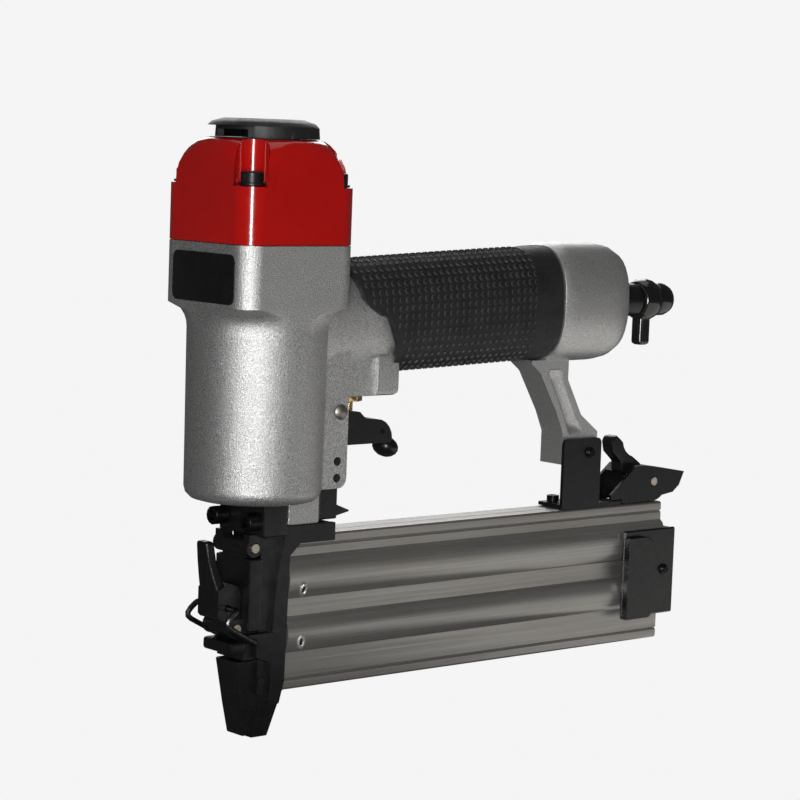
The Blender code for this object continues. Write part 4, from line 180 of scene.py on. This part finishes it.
def metal(name, low, high, rough):
    """Plain metal with small changes of shade and a very fine grain."""
    material, tree, shader = shader_of(name)
    colour = ramp(tree, noise(tree, scale=600, detail=4.0), low, high)
    paint(tree, shader, colour, spread(tree, noise(tree, scale=900), *rough), metallic=1.0)
    bump(tree, shader, noise(tree, scale=1300, detail=2.0), strength=0.1, distance=0.0001)
    return material


def rubber(name, low, high):
    """Dull rubber with a fine grain."""
    material, tree, shader = shader_of(name)
    colour = ramp(tree, noise(tree, scale=150, detail=5.0), low, high)
    paint(tree, shader, colour, spread(tree, noise(tree, scale=500), low=0.5, high=0.68))
    bump(tree, shader, noise(tree, scale=1900), strength=0.3, distance=0.0002)
    return material


CAST = cast_silver("cast_silver", dark=0.22, pale=0.96, rough=(0.37, 0.47), metallic=0.86, grain=0.8)
SMOOTH_CAST = cast_silver("smooth_cast", dark=0.34, pale=0.84, rough=(0.38, 0.48), metallic=0.78, grain=0.25)
RED = gloss_red("gloss_red")
BLACK = black_finish("black_oxide", rough=(0.26, 0.38), strength=0.12, lift=1.1, gleam=0.42)
GREY_SCREW = black_finish("grey_screw", rough=(0.3, 0.42), dust=0.08, metallic=0.6, lift=6.0)
MATT = black_finish("black_matt", rough=(0.46, 0.58), dust=0.03, grain=900, strength=0.12, lift=1.8)
SCREW = black_finish("black_screw", rough=(0.24, 0.36), dust=0.05, metallic=0.6)
PLASTIC = black_finish("black_moulded", rough=(0.22, 0.34), dust=0.015, grain=900, strength=0.12)
GLOSS = black_finish("black_gloss", rough=(0.15, 0.22), dust=0.012, grain=500, strength=0.04, gleam=1.0)
SEAL = black_finish("seal_rubber", rough=(0.55, 0.7), dust=0.03)
ALUMINIUM = drawn_aluminium("drawn_aluminium")
STEEL = metal("plain_steel", (0.62, 0.56, 0.47), (0.85, 0.78, 0.67), rough=(0.36, 0.5))
DULL_STEEL = metal("dull_steel", (0.30, 0.28, 0.25), (0.42, 0.39, 0.34), rough=(0.4, 0.52))
RIVET = metal("pale_rivet", (0.72, 0.715, 0.69), (0.9, 0.89, 0.87), rough=(0.42, 0.55))
WIRE = metal("spring_wire", (0.05, 0.05, 0.05), (0.13, 0.13, 0.125), rough=(0.25, 0.4))
BRASS = metal("plain_brass", (0.55, 0.40, 0.15), (0.75, 0.58, 0.26), rough=(0.2, 0.34))
RUBBER = rubber("grip_rubber", (0.008, 0.0083, 0.009), (0.019, 0.0195, 0.022))
# Lighter rubber for the grip's raised crescents: a painted highlight where they catch the light
HIGHLIT_RUBBER = rubber("painted_highlight_rubber", (0.026, 0.0268, 0.028), (0.052, 0.0535, 0.056))

LOOKS = {
    "body": CAST, "end_cap": SMOOTH_CAST, "cylinder_cap": RED, "handle_grip": RUBBER, "dust_cap": GLOSS,
    "exhaust_cover": MATT, "thumb_pull": PLASTIC, "magazine_fixed_half": ALUMINIUM,
    "magazine_sliding_half": ALUMINIUM, "cylinder_sleeve": ALUMINIUM, "piston": ALUMINIUM,
    "head_valve": ALUMINIUM, "trigger_valve": BRASS, "valve_stem": BRASS, "wire_bail": WIRE,
    "head_valve_spring": WIRE, "trigger_pin": DULL_STEEL, "door_hinge_pin": STEEL, "lever_pin": STEEL,
    "rear_latch_pin": STEEL, "driver_blade": STEEL, "pusher_spring": STEEL, "cap_gasket": SEAL,
    "bumper": SEAL, "piston_seal": SEAL, "head_valve_seal": SEAL, "end_cap_seal": SEAL,
}


def finish_of(node_name):
    if node_name in LOOKS:
        return LOOKS[node_name]
    if node_name.startswith("cap_bolt"):
        return GREY_SCREW
    if "bolt" in node_name or "screw" in node_name:
        return SCREW
    return BLACK


# Rounded edges: width of the bevel on each node
SOFT_EDGES = {
    "body": 0.0005, "end_cap": 0.001, "cylinder_cap": 0.001, "driver_guide": 0.0003, "nose_door": 0.0004,
    "latch_lever": 0.0005, "trigger": 0.0005, "strut_bracket": 0.0003, "rear_latch": 0.0004,
    "guide_stay": 0.0003, "magazine_sliding_half": 0.0002, "magazine_fixed_half": 0.0002,
    "handle_grip": 0.0006, "thumb_pull": 0.0003, "exhaust_cover": 0.0003, "dust_cap": 0.0003,
    "trigger_valve": 0.0002, "rear_latch_block": 0.0002,
}
SMALL_EDGE = 0.0002
BEVEL_SEGMENTS = 2
WELD_DISTANCE = 0.000001
# Angles in degrees: facets flatter than the first are merged, edges above the crease stay crisp, and
# edges above the crease and the margin together are bevelled
FLAT_ANGLE = 0.6
CREASES = {"dust_cap": 62}
USUAL_CREASE = 35
BEVEL_MARGIN = 3
# How much the large faces lead the shading
FACE_WEIGHTS = {"cylinder_cap": 70}
USUAL_FACE_WEIGHT = 50


def soften(node, width, weight, crease):
    """Smooth shading and rounded edges, by shading flags and modifiers; the vertices stay as packed."""
    for name in ("custom_normal", "sharp_edge"):
        attribute = node.data.attributes.get(name)
        if attribute:
            node.data.attributes.remove(attribute)
    node.data.shade_smooth()
    weld = node.modifiers.new("weld", "WELD")
    weld.merge_threshold = WELD_DISTANCE
    flat = node.modifiers.new("flat_faces", "DECIMATE")
    flat.decimate_type = "DISSOLVE"
    flat.angle_limit = math.radians(FLAT_ANGLE)
    soft = node.modifiers.new("soft_edges", "BEVEL")
    soft.width = width
    soft.segments = BEVEL_SEGMENTS
    soft.limit_method = "ANGLE"
    soft.angle_limit = math.radians(crease + BEVEL_MARGIN)
    split = node.modifiers.new("crisp_edges", "EDGE_SPLIT")
    split.split_angle = math.radians(crease)
    split.use_edge_sharp = False
    level = node.modifiers.new("level_faces", "WEIGHTED_NORMAL")
    level.mode = "FACE_AREA"
    level.weight = weight


for node_name, node in NODES.items():
    node.data.materials.clear()
    node.data.materials.append(finish_of(node_name))
    soften(
        node,
        SOFT_EDGES.get(node_name, SMALL_EDGE),
        FACE_WEIGHTS.get(node_name, USUAL_FACE_WEIGHT),
        CREASES.get(node_name, USUAL_CREASE),
    )


# Helpers for the pieces that are added here. Their edges above this angle, in degrees, stay crisp.
PIECE_CREASE = 40


def circle(bm, radius, height, sides, centre=(0.0, 0.0)):
    """Loop of vertices in a level circle."""
    loop = []
    for step in range(sides):
        angle = 2 * math.pi * step / sides
        x = centre[0] + radius * math.cos(angle)
        y = centre[1] + radius * math.sin(angle)
        loop.append(bm.verts.new((x, y, height)))
    return loop


def join_loops(bm, loops):
    """Band of four-sided faces between each loop and the next."""
    for first, second in zip(loops, loops[1:]):
        for index in range(len(first)):
            after = (index + 1) % len(first)
            bm.faces.new((first[index], first[after], second[after], second[index]))


def close_ends(bm, loops):
    bm.faces.new(loops[0][::-1])
    bm.faces.new(loops[-1])


def mesh_object(bm, name, material):
    mesh = bpy.data.meshes.new(name)
    bm.to_mesh(mesh)
    bm.free()
    mesh.materials.append(material)
    item = bpy.data.objects.new(name, mesh)
    SCENE.collection.objects.link(item)
    return item


def piece_from(bm, name, material, body):
    """Turn a finished bmesh into a named piece that rides on a body."""
    bmesh.ops.recalc_face_normals(bm, faces=bm.faces)
    piece = mesh_object(bm, name, material)
    piece.data.shade_smooth()
    piece.data.set_sharp_from_angle(angle=math.radians(PIECE_CREASE))
    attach(piece, body)


def between(table, value):
    """Second column of a table at a value of its first column, in straight lines."""
    for (first, low), (second, high) in zip(table, table[1:]):
        if min(first, second) <= value <= max(first, second):
            share = (value - first) / (second - first)
            return low + (high - low) * share
    return table[-1][1]


# Grip: an oval section round a rising axis, with X from the drive axis. A power below 1 makes the oval
# squarer.
GRIP_AXIS_Z = 0.1588
GRIP_AXIS_SLOPE = 0.042
GRIP_HALF_WIDTH = 0.0133
GRIP_HALF_HEIGHT = 0.0196
GRIP_OVAL_POWER = 0.8
GRIP_RUBBER = 0.0028
# Place along the grip and what the rubber grows there
GRIP_STATIONS = (
    (0.0330, 0.0), (0.046, 0.0), (0.0909, 0.0004), (0.1306, 0.0006), (0.1383, 0.0012), (0.1448, 0.0012),
)
# Height and place of the rubber's front edge
GRIP_LINE = (
    (0.21, 0.0358), (0.1799, 0.0358), (0.1681, 0.0408), (0.1645, 0.0450), (0.1617, 0.0528),
    (0.1536, 0.0569), (0.1487, 0.0596), (0.12, 0.0596),
)
GRIP_EDGE_MARGIN = 0.0022
SECTION_STEPS = 720
# Steps along and round the grip that give the directions of its surface
TANGENT_STEP = 0.0004
TANGENT_TURN = 0.004

# Grip texture: rows of small raised crescents
COLUMN_COUNT = 29
FIRST_COLUMN_X = 0.0385
COLUMN_PITCH = 0.0033
ROW_PITCH = 0.0034
ROW_STATION_X = 0.09
CRESCENT_POINTS = 6
CRESCENT_HALF_ANGLE = 105
CRESCENT_OUTER = 0.00142
CRESCENT_CREST = 0.0011
CRESCENT_INNER = 0.0007
CRESCENT_RISE = 0.0006
CRESCENT_END_RISE = 0.0003
CRESCENT_SUNK = 0.00012


def grip_axis(x):
    return GRIP_AXIS_Z + GRIP_AXIS_SLOPE * x


def squared(share):
    """Sine or cosine drawn outward, so that an oval becomes squarer."""
    return math.copysign(abs(share) ** GRIP_OVAL_POWER, share)


def grip_point(x, angle):
    growth = GRIP_RUBBER + between(GRIP_STATIONS, x)
    y = (GRIP_HALF_WIDTH + growth) * squared(math.cos(angle))
    z = grip_axis(x) + (GRIP_HALF_HEIGHT + growth) * squared(math.sin(angle))
    return Vector((x, y, z))


def grip_angles(x, pitch):
    """Angles at even steps round the grip's section."""
    turn = 2 * math.pi / SECTION_STEPS
    points = [grip_point(x, turn * step) for step in range(SECTION_STEPS + 1)]
    total = sum((second - first).length for first, second in zip(points, points[1:]))
    rows = round(total / pitch)
    angles = []
    travelled = 0.0
    for step, (first, second) in enumerate(zip(points, points[1:])):
        while len(angles) < rows and travelled >= len(angles) * total / rows:
            angles.append(turn * step)
        travelled += (second - first).length
    return angles


def crescent(bm, x, angle):
    """One raised crescent on the grip, open towards the rear and a little sunk into the rubber."""
    centre = grip_point(x, angle)
    along = (grip_point(x + TANGENT_STEP, angle) - centre).normalized()
    around = (grip_point(x, angle + TANGENT_TURN) - centre).normalized()
    out = along.cross(around).normalized()
    if out.dot(Vector((0, centre.y, centre.z - grip_axis(x)))) < 0:
        out.negate()
    base = centre - CRESCENT_SUNK * out
    last = CRESCENT_POINTS - 1
    sections = []
    for step in range(CRESCENT_POINTS):
        turn = math.radians(-CRESCENT_HALF_ANGLE + 2 * CRESCENT_HALF_ANGLE * step / last)
        away = -math.cos(turn) * along + math.sin(turn) * around
        rise = CRESCENT_RISE if 0 < step < last else CRESCENT_END_RISE
        corners = (
            base + CRESCENT_OUTER * away,
            centre + CRESCENT_CREST * away + rise * out,
            base + CRESCENT_INNER * away,
        )
        sections.append([bm.verts.new(corner) for corner in corners])
    join_loops(bm, sections)
    close_ends(bm, sections)


def grip_texture():
    bm = bmesh.new()
    row_angles = grip_angles(ROW_STATION_X, ROW_PITCH)
    for column in range(COLUMN_COUNT):
        x = FIRST_COLUMN_X + COLUMN_PITCH * column
        for angle in row_angles:
            if x >= between(GRIP_LINE, grip_point(x, angle).z) + GRIP_EDGE_MARGIN:
                crescent(bm, x, angle)
    bmesh.ops.translate(bm, verts=bm.verts, vec=(DRIVE_X, 0, 0))
    # The crescents get the lighter rubber, a painted highlight
    piece_from(bm, "grip_texture", HIGHLIT_RUBBER, "tool")


grip_texture()

# Thin plates: depth below the face, share of the thickness that the bevel takes, points on each corner
PLATE_SUNK = 0.0001
PLATE_BEVEL = 0.6
PLATE_CORNER_POINTS = 6
PLATE_QUARTERS = ((1, 1), (-1, 1), (-1, -1), (1, -1))


def rounded_plate(name, centre, across, up, half_size, corner, thickness, material, body):
    """Thin plate with round corners and a bevelled rim, standing on a flat face."""
    across = Vector(across)
    up = Vector(up)
    out = across.cross(up)
    half_width, half_height = half_size
    bevel = thickness * PLATE_BEVEL
    bm = bmesh.new()
    loops = []
    for inset, rise in ((0.0, -PLATE_SUNK), (0.0, bevel), (bevel, thickness)):
        loop = []
        for quarter, (side_u, side_v) in enumerate(PLATE_QUARTERS):
            for step in range(PLATE_CORNER_POINTS):
                angle = math.pi / 2 * (quarter + step / (PLATE_CORNER_POINTS - 1))
                u = side_u * (half_width - corner) + (corner - inset) * math.cos(angle)
                v = side_v * (half_height - corner) + (corner - inset) * math.sin(angle)
                loop.append(bm.verts.new(Vector(centre) + across * u + up * v + out * rise))
        loops.append(loop)
    join_loops(bm, loops)
    close_ends(bm, loops)
    piece_from(bm, name, material, body)


# Raised rings: share of the half size and of the height, round the ring's section
RING_PROFILE = ((1.0, -0.5), (0.97, 0.6), (0.88, 1.0), (0.6, 1.0), (0.48, 0.35), (0.44, -0.5))
RING_SIDES = 20


def raised_ring(name, centre, out, half_size, height, material, body, sides=RING_SIDES):
    """Closed oval ring that stands on a face, with a rounded crest and an open middle."""
    out = Vector(out).normalized()
    up = Vector(UPWARD)
    up = (up - out * up.dot(out)).normalized()
    across = up.cross(out)
    half_width, half_height = half_size
    bm = bmesh.new()
    loops = []
    for share, rise in RING_PROFILE:
        loop = []
        for step in range(sides):
            angle = 2 * math.pi * step / sides
            u = share * half_width * math.cos(angle)
            v = share * half_height * math.sin(angle)
            loop.append(bm.verts.new(Vector(centre) + out * (rise * height) + across * u + up * v))
        loops.append(loop)
    join_loops(bm, loops + loops[:1])
    piece_from(bm, name, material, body)


# Blank badge on the front of the head
HEAD_HALF_DEPTH = 0.027
BADGE_CENTRE = (DRIVE_X - HEAD_HALF_DEPTH, -0.0011, 0.1766)
BADGE_HALF_SIZE = (0.0191, 0.0093)
BADGE_CORNER = 0.003
BADGE_THICKNESS = 0.0004
rounded_plate(
    "blank_badge", BADGE_CENTRE, NEAR_SIDE, UPWARD, BADGE_HALF_SIZE, BADGE_CORNER, BADGE_THICKNESS,
    PLASTIC, "tool",
)

# Rivet marks on the sliding half: place from the drive axis and the slope of the hump there
RIVETS = (
    ((0.0182, -0.01054, 0.0564), (0, -0.939, -0.344)),
    ((0.0176, -0.01087, 0.0361), (0, -0.993, -0.115)),
)
RIVET_HALF_SIZE = (0.0018, 0.003)
RIVET_RISE = 0.0005
RIVET_SLOT_HALF_SIZE = (0.0005, 0.0012)
RIVET_SLOT_CORNER = 0.0004
RIVET_SLOT_THICKNESS = 0.00015


def rivet_mark(index, place, out):
    """Pale oval rim with a dark plate in its middle, painted shade for the rivet's slit."""
    raised_ring(
        "rivet_%d" % index, place, out, RIVET_HALF_SIZE, RIVET_RISE, RIVET, "magazine_slide",
    )
    slot_up = X_AXIS.cross(Vector(out))
    slot_across = Vector(out).cross(X_AXIS).cross(Vector(out))
    # Dark plate on the face instead of a cut slit: painted shade of the slit
    rounded_plate(
        "rivet_slot_%d" % index, place, slot_across, slot_up, RIVET_SLOT_HALF_SIZE, RIVET_SLOT_CORNER,
        RIVET_SLOT_THICKNESS, SEAL, "magazine_slide",
    )


for rivet_index, ((rivet_x, rivet_y, rivet_z), rivet_out) in enumerate(RIVETS, 1):
    rivet_mark(rivet_index, (rivet_x + DRIVE_X, rivet_y, rivet_z), rivet_out)

# Dimple on the near side of the trigger
DIMPLE_CENTRE = (0.0584 + DRIVE_X, -0.0072, 0.1155)
DIMPLE_HALF_SIZE = (0.001, 0.001)
DIMPLE_RISE = 0.0003
raised_ring(
    "trigger_dimple", DIMPLE_CENTRE, NEAR_SIDE, DIMPLE_HALF_SIZE, DIMPLE_RISE, SCREW,
    "trigger",
)

# Drive sockets on two small screws
SOCKET_HALF_SIZE = (0.0016, 0.0016)
SOCKET_RISE = 0.0003
SOCKET_SUNK = 0.00015
SOCKET_SIDES = 6


def socket_mark(node_name, body):
    """Six-sided drive socket on the dome of a small screw."""
    screw = NODES[node_name]
    corners = [screw.matrix_world @ Vector(corner) for corner in screw.bound_box]
    low = [min(corner[axis] for corner in corners) for axis in range(3)]
    high = [max(corner[axis] for corner in corners) for axis in range(3)]
    top = ((low[0] + high[0]) / 2, low[1] + SOCKET_SUNK, (low[2] + high[2]) / 2)
    raised_ring(
        node_name + "_socket", top, NEAR_SIDE, SOCKET_HALF_SIZE, SOCKET_RISE, SCREW, body,
        SOCKET_SIDES,
    )


socket_mark("strut_screw", "tool")
socket_mark("thumb_pull_screw", "magazine_slide")

# Dark pad under the exhaust cover: painted shade that keeps the gap between cap and cover dark
PAD_INNER = 0.0090
PAD_OUTER = 0.0200
PAD_BOTTOM = 0.22845
PAD_TOP = 0.22872
PAD_SIDES = 64


def exhaust_shade_pad():
    """Thin dark pad that lies on the cap under the exhaust cover, just clear of it: painted shade for the
    gap under the cover.
    """
    bm = bmesh.new()
    section = (
        (PAD_INNER, PAD_BOTTOM), (PAD_OUTER, PAD_BOTTOM), (PAD_OUTER, PAD_TOP), (PAD_INNER, PAD_TOP),
    )
    loops = [circle(bm, radius, z, PAD_SIDES, (DRIVE_X, 0.0)) for radius, z in section]
    join_loops(bm, loops + loops[:1])
    piece_from(bm, "exhaust_shade_pad", SEAL, "tool")


exhaust_shade_pad()

# Hollow of the strut's channel: height and place of its two walls, with X from the drive axis
CHANNEL_LEFT = (
    (0.13715, 0.1492), (0.13572, 0.14798), (0.11854, 0.15731), (0.1098, 0.1613), (0.107, 0.1613),
)
CHANNEL_RIGHT = ((0.13715, 0.1575), (0.13241, 0.1575), (0.11607, 0.16609), (0.107, 0.1734))
# Its floor from front to rear: share of the hollow's width and share of its depth
CHANNEL_FLOOR = (
    (0.0, 0.0), (0.07, 0.55), (0.16, 0.92), (0.3, 1.0), (0.5, 0.9), (0.72, 0.62), (0.9, 0.25), (1.0, 0.0),
)
CHANNEL_FACE_Y = 0.0065
CHANNEL_TOP_Z = 0.1369
CHANNEL_HEIGHT = 0.0296
CHANNEL_ROWS = 25
CHANNEL_CLEARANCE = 0.00005
# The hollow: flat rims beside it, its greatest width and depth, and how it runs out at both ends
HOLLOW_RIM = 0.0004
HOLLOW_WIDTH = 0.0086
HOLLOW_DEPTH = 0.0015
HOLLOW_TOP_Z = 0.1364
HOLLOW_TOP_RUN = 0.003
HOLLOW_BOTTOM_Z = 0.1095
HOLLOW_BOTTOM_RUN = 0.0032
# Depths of the piece's rim and of its back below the strut's face
CHANNEL_RIM_DEPTH = 0.0001
CHANNEL_BACK_DEPTH = 0.0019


def channel_section(z):
    """Places and depths round the channel's piece at one height."""
    left = between(CHANNEL_LEFT, z) + CHANNEL_CLEARANCE
    right = between(CHANNEL_RIGHT, z) - CHANNEL_CLEARANCE
    start = left + HOLLOW_RIM
    end = min(right - HOLLOW_RIM, start + HOLLOW_WIDTH)
    share_top = (HOLLOW_TOP_Z - z) / HOLLOW_TOP_RUN
    share_bottom = (z - HOLLOW_BOTTOM_Z) / HOLLOW_BOTTOM_RUN
    share = max(0.0, min(1.0, share_top, share_bottom))
    # The depth eases in and out where the hollow runs out
    deep = HOLLOW_DEPTH * share * share * (3 - 2 * share)
    line = [(left, CHANNEL_BACK_DEPTH), (left, CHANNEL_RIM_DEPTH)]
    for along, depth in CHANNEL_FLOOR:
        line.append((start + (end - start) * along, CHANNEL_RIM_DEPTH + deep * depth))
    line += [(right, CHANNEL_RIM_DEPTH), (right, CHANNEL_BACK_DEPTH)]
    return line


def strut_channel(name, side):
    """Cast floor of the strut's channel: steep at the front, rising to the rear and at both ends."""
    bm = bmesh.new()
    loops = []
    for step in range(CHANNEL_ROWS):
        z = CHANNEL_TOP_Z - CHANNEL_HEIGHT * step / (CHANNEL_ROWS - 1)
        loop = []
        for x, depth in channel_section(z):
            loop.append(bm.verts.new((x + DRIVE_X, side * (CHANNEL_FACE_Y - depth), z)))
        loops.append(loop)
    join_loops(bm, loops)
    close_ends(bm, loops)
    piece_from(bm, name, SMOOTH_CAST, "tool")


strut_channel("strut_channel_near", -1)
strut_channel("strut_channel_far", 1)

# Floor and backdrop
FLOOR_RADIUS = 3.0
COVE_RADIUS = 2.0
COVE_STEPS = 12
BACKDROP_TOP = 7.0
FLOOR_SIDES = 64
FLOOR_GLOW = 0.912
# Pale table that only reflections show
SHEEN_CENTRE = (0.43, -0.32)
SHEEN_RADIUS = 0.38
SHEEN_HEIGHT = 0.0004
SHEEN_SIDES = 48
SHEEN_TINT = (1.0, 0.98, 0.95)
SHEEN_GLOW = 0.65
STAGE_ROUGHNESS = 0.9


def glowing(name, low, high, tint, glow, gleam):
    """Matt surface that gives off an even light of its own."""
    material, tree, shader = shader_of(name)
    shade = ramp(tree, noise(tree, scale=3, detail=2.0), scaled(low, WHITE), scaled(high, WHITE))
    tree.links.new(shade, shader.inputs["Base Color"])
    shader.inputs["Roughness"].default_value = STAGE_ROUGHNESS
    shader.inputs["Specular IOR Level"].default_value = gleam
    shader.inputs["Emission Color"].default_value = (*tint, 1.0)
    shader.inputs["Emission Strength"].default_value = glow
    return material


def studio_floor():
    """Pale round floor that curves up into a plain backdrop on every side."""
    bm = bmesh.new()
    rows = [(FLOOR_RADIUS, 0.0)]
    for step in range(1, COVE_STEPS + 1):
        angle = math.pi / 2 * step / COVE_STEPS
        radius = FLOOR_RADIUS + COVE_RADIUS * math.sin(angle)
        rows.append((radius, COVE_RADIUS * (1 - math.cos(angle))))
    rows.append((FLOOR_RADIUS + COVE_RADIUS, BACKDROP_TOP))
    loops = [circle(bm, radius, height, FLOOR_SIDES) for radius, height in rows]
    bm.faces.new(loops[0])
    join_loops(bm, loops)
    pale = glowing("pale_floor", low=0.008, high=0.01, tint=WHITE, glow=FLOOR_GLOW, gleam=0.0)
    floor = mesh_object(bm, "studio_floor", pale)
    floor.data.shade_smooth()
    floor.visible_glossy = False
    floor.visible_diffuse = False


def table_sheen():
    """Pale table round the tool, seen only in reflections on the lower metal."""
    bm = bmesh.new()
    bm.faces.new(circle(bm, SHEEN_RADIUS, SHEEN_HEIGHT, SHEEN_SIDES, SHEEN_CENTRE))
    pale = glowing("table_sheen", low=0.05, high=0.06, tint=SHEEN_TINT, glow=SHEEN_GLOW, gleam=0.5)
    sheen = mesh_object(bm, "table_sheen", pale)
    sheen.visible_camera = False
    sheen.visible_diffuse = False
    sheen.visible_shadow = False


studio_floor()
table_sheen()

# Lights: name, place, width and height, power in watts, and whether reflections show it
LIGHT_TARGET = Vector((0.08, 0.0, 0.13))
LIGHTS = (
    ("key", (-0.72, -0.86, 0.22), (0.2, 0.5), 10, True),
    ("top", (0.35, 0.3, 1.4), (1.0, 1.0), 2, True),
    ("side_left", (0.1, 1.3, 0.5), (0.8, 0.8), 2, False),
    ("side_right", (1.3, 0.05, 0.5), (0.8, 0.8), 2, False),
    ("back", (0.75, 0.95, 0.8), (0.8, 0.8), 6, True),
)
WORLD_GLOW = 0.06


def area_light(name, place, size, power, mirrored):
    data = bpy.data.lights.new(name, "AREA")
    data.shape = "RECTANGLE"
    data.size = size[0]
    data.size_y = size[1]
    data.energy = power
    lamp = bpy.data.objects.new(name, data)
    lamp.location = place
    lamp.rotation_euler = (LIGHT_TARGET - Vector(place)).to_track_quat("-Z", "Y").to_euler()
    lamp.visible_glossy = mirrored
    SCENE.collection.objects.link(lamp)


for light in LIGHTS:
    area_light(*light)
world = bpy.data.worlds.new("studio")
SCENE.world = world
world.use_nodes = True
background = world.node_tree.nodes["Background"]
background.inputs["Color"].default_value = (*WHITE, 1.0)
background.inputs["Strength"].default_value = WORLD_GLOW
SCENE.view_settings.view_transform = "Standard"

# Camera fitted to the photograph: its place, its three directions and its focal length in pixels
CAMERA_PLACE = (-0.59383 + DRIVE_X, -0.76725, 0.23123)
CAMERA_RIGHT = Vector((0.75675613, -0.65265735, 0.03685848))
CAMERA_UP = Vector((0.03914608, 0.10152901, 0.99406209))
CAMERA_AHEAD = Vector((0.65252413, 0.75081972, -0.10238168))
FOCAL_PIXELS = 2560.25
PHOTO_PIXELS = 800.0
SENSOR_WIDTH = 36.0
lens = bpy.data.cameras.new("photo_camera")
lens.sensor_width = SENSOR_WIDTH
lens.lens = FOCAL_PIXELS * SENSOR_WIDTH / PHOTO_PIXELS
camera = bpy.data.objects.new("photo_camera", lens)
SCENE.collection.objects.link(camera)
camera_turn = Matrix((CAMERA_RIGHT, CAMERA_UP, -CAMERA_AHEAD)).transposed().to_4x4()
camera.matrix_world = Matrix.Translation(CAMERA_PLACE) @ camera_turn
SCENE.camera = camera
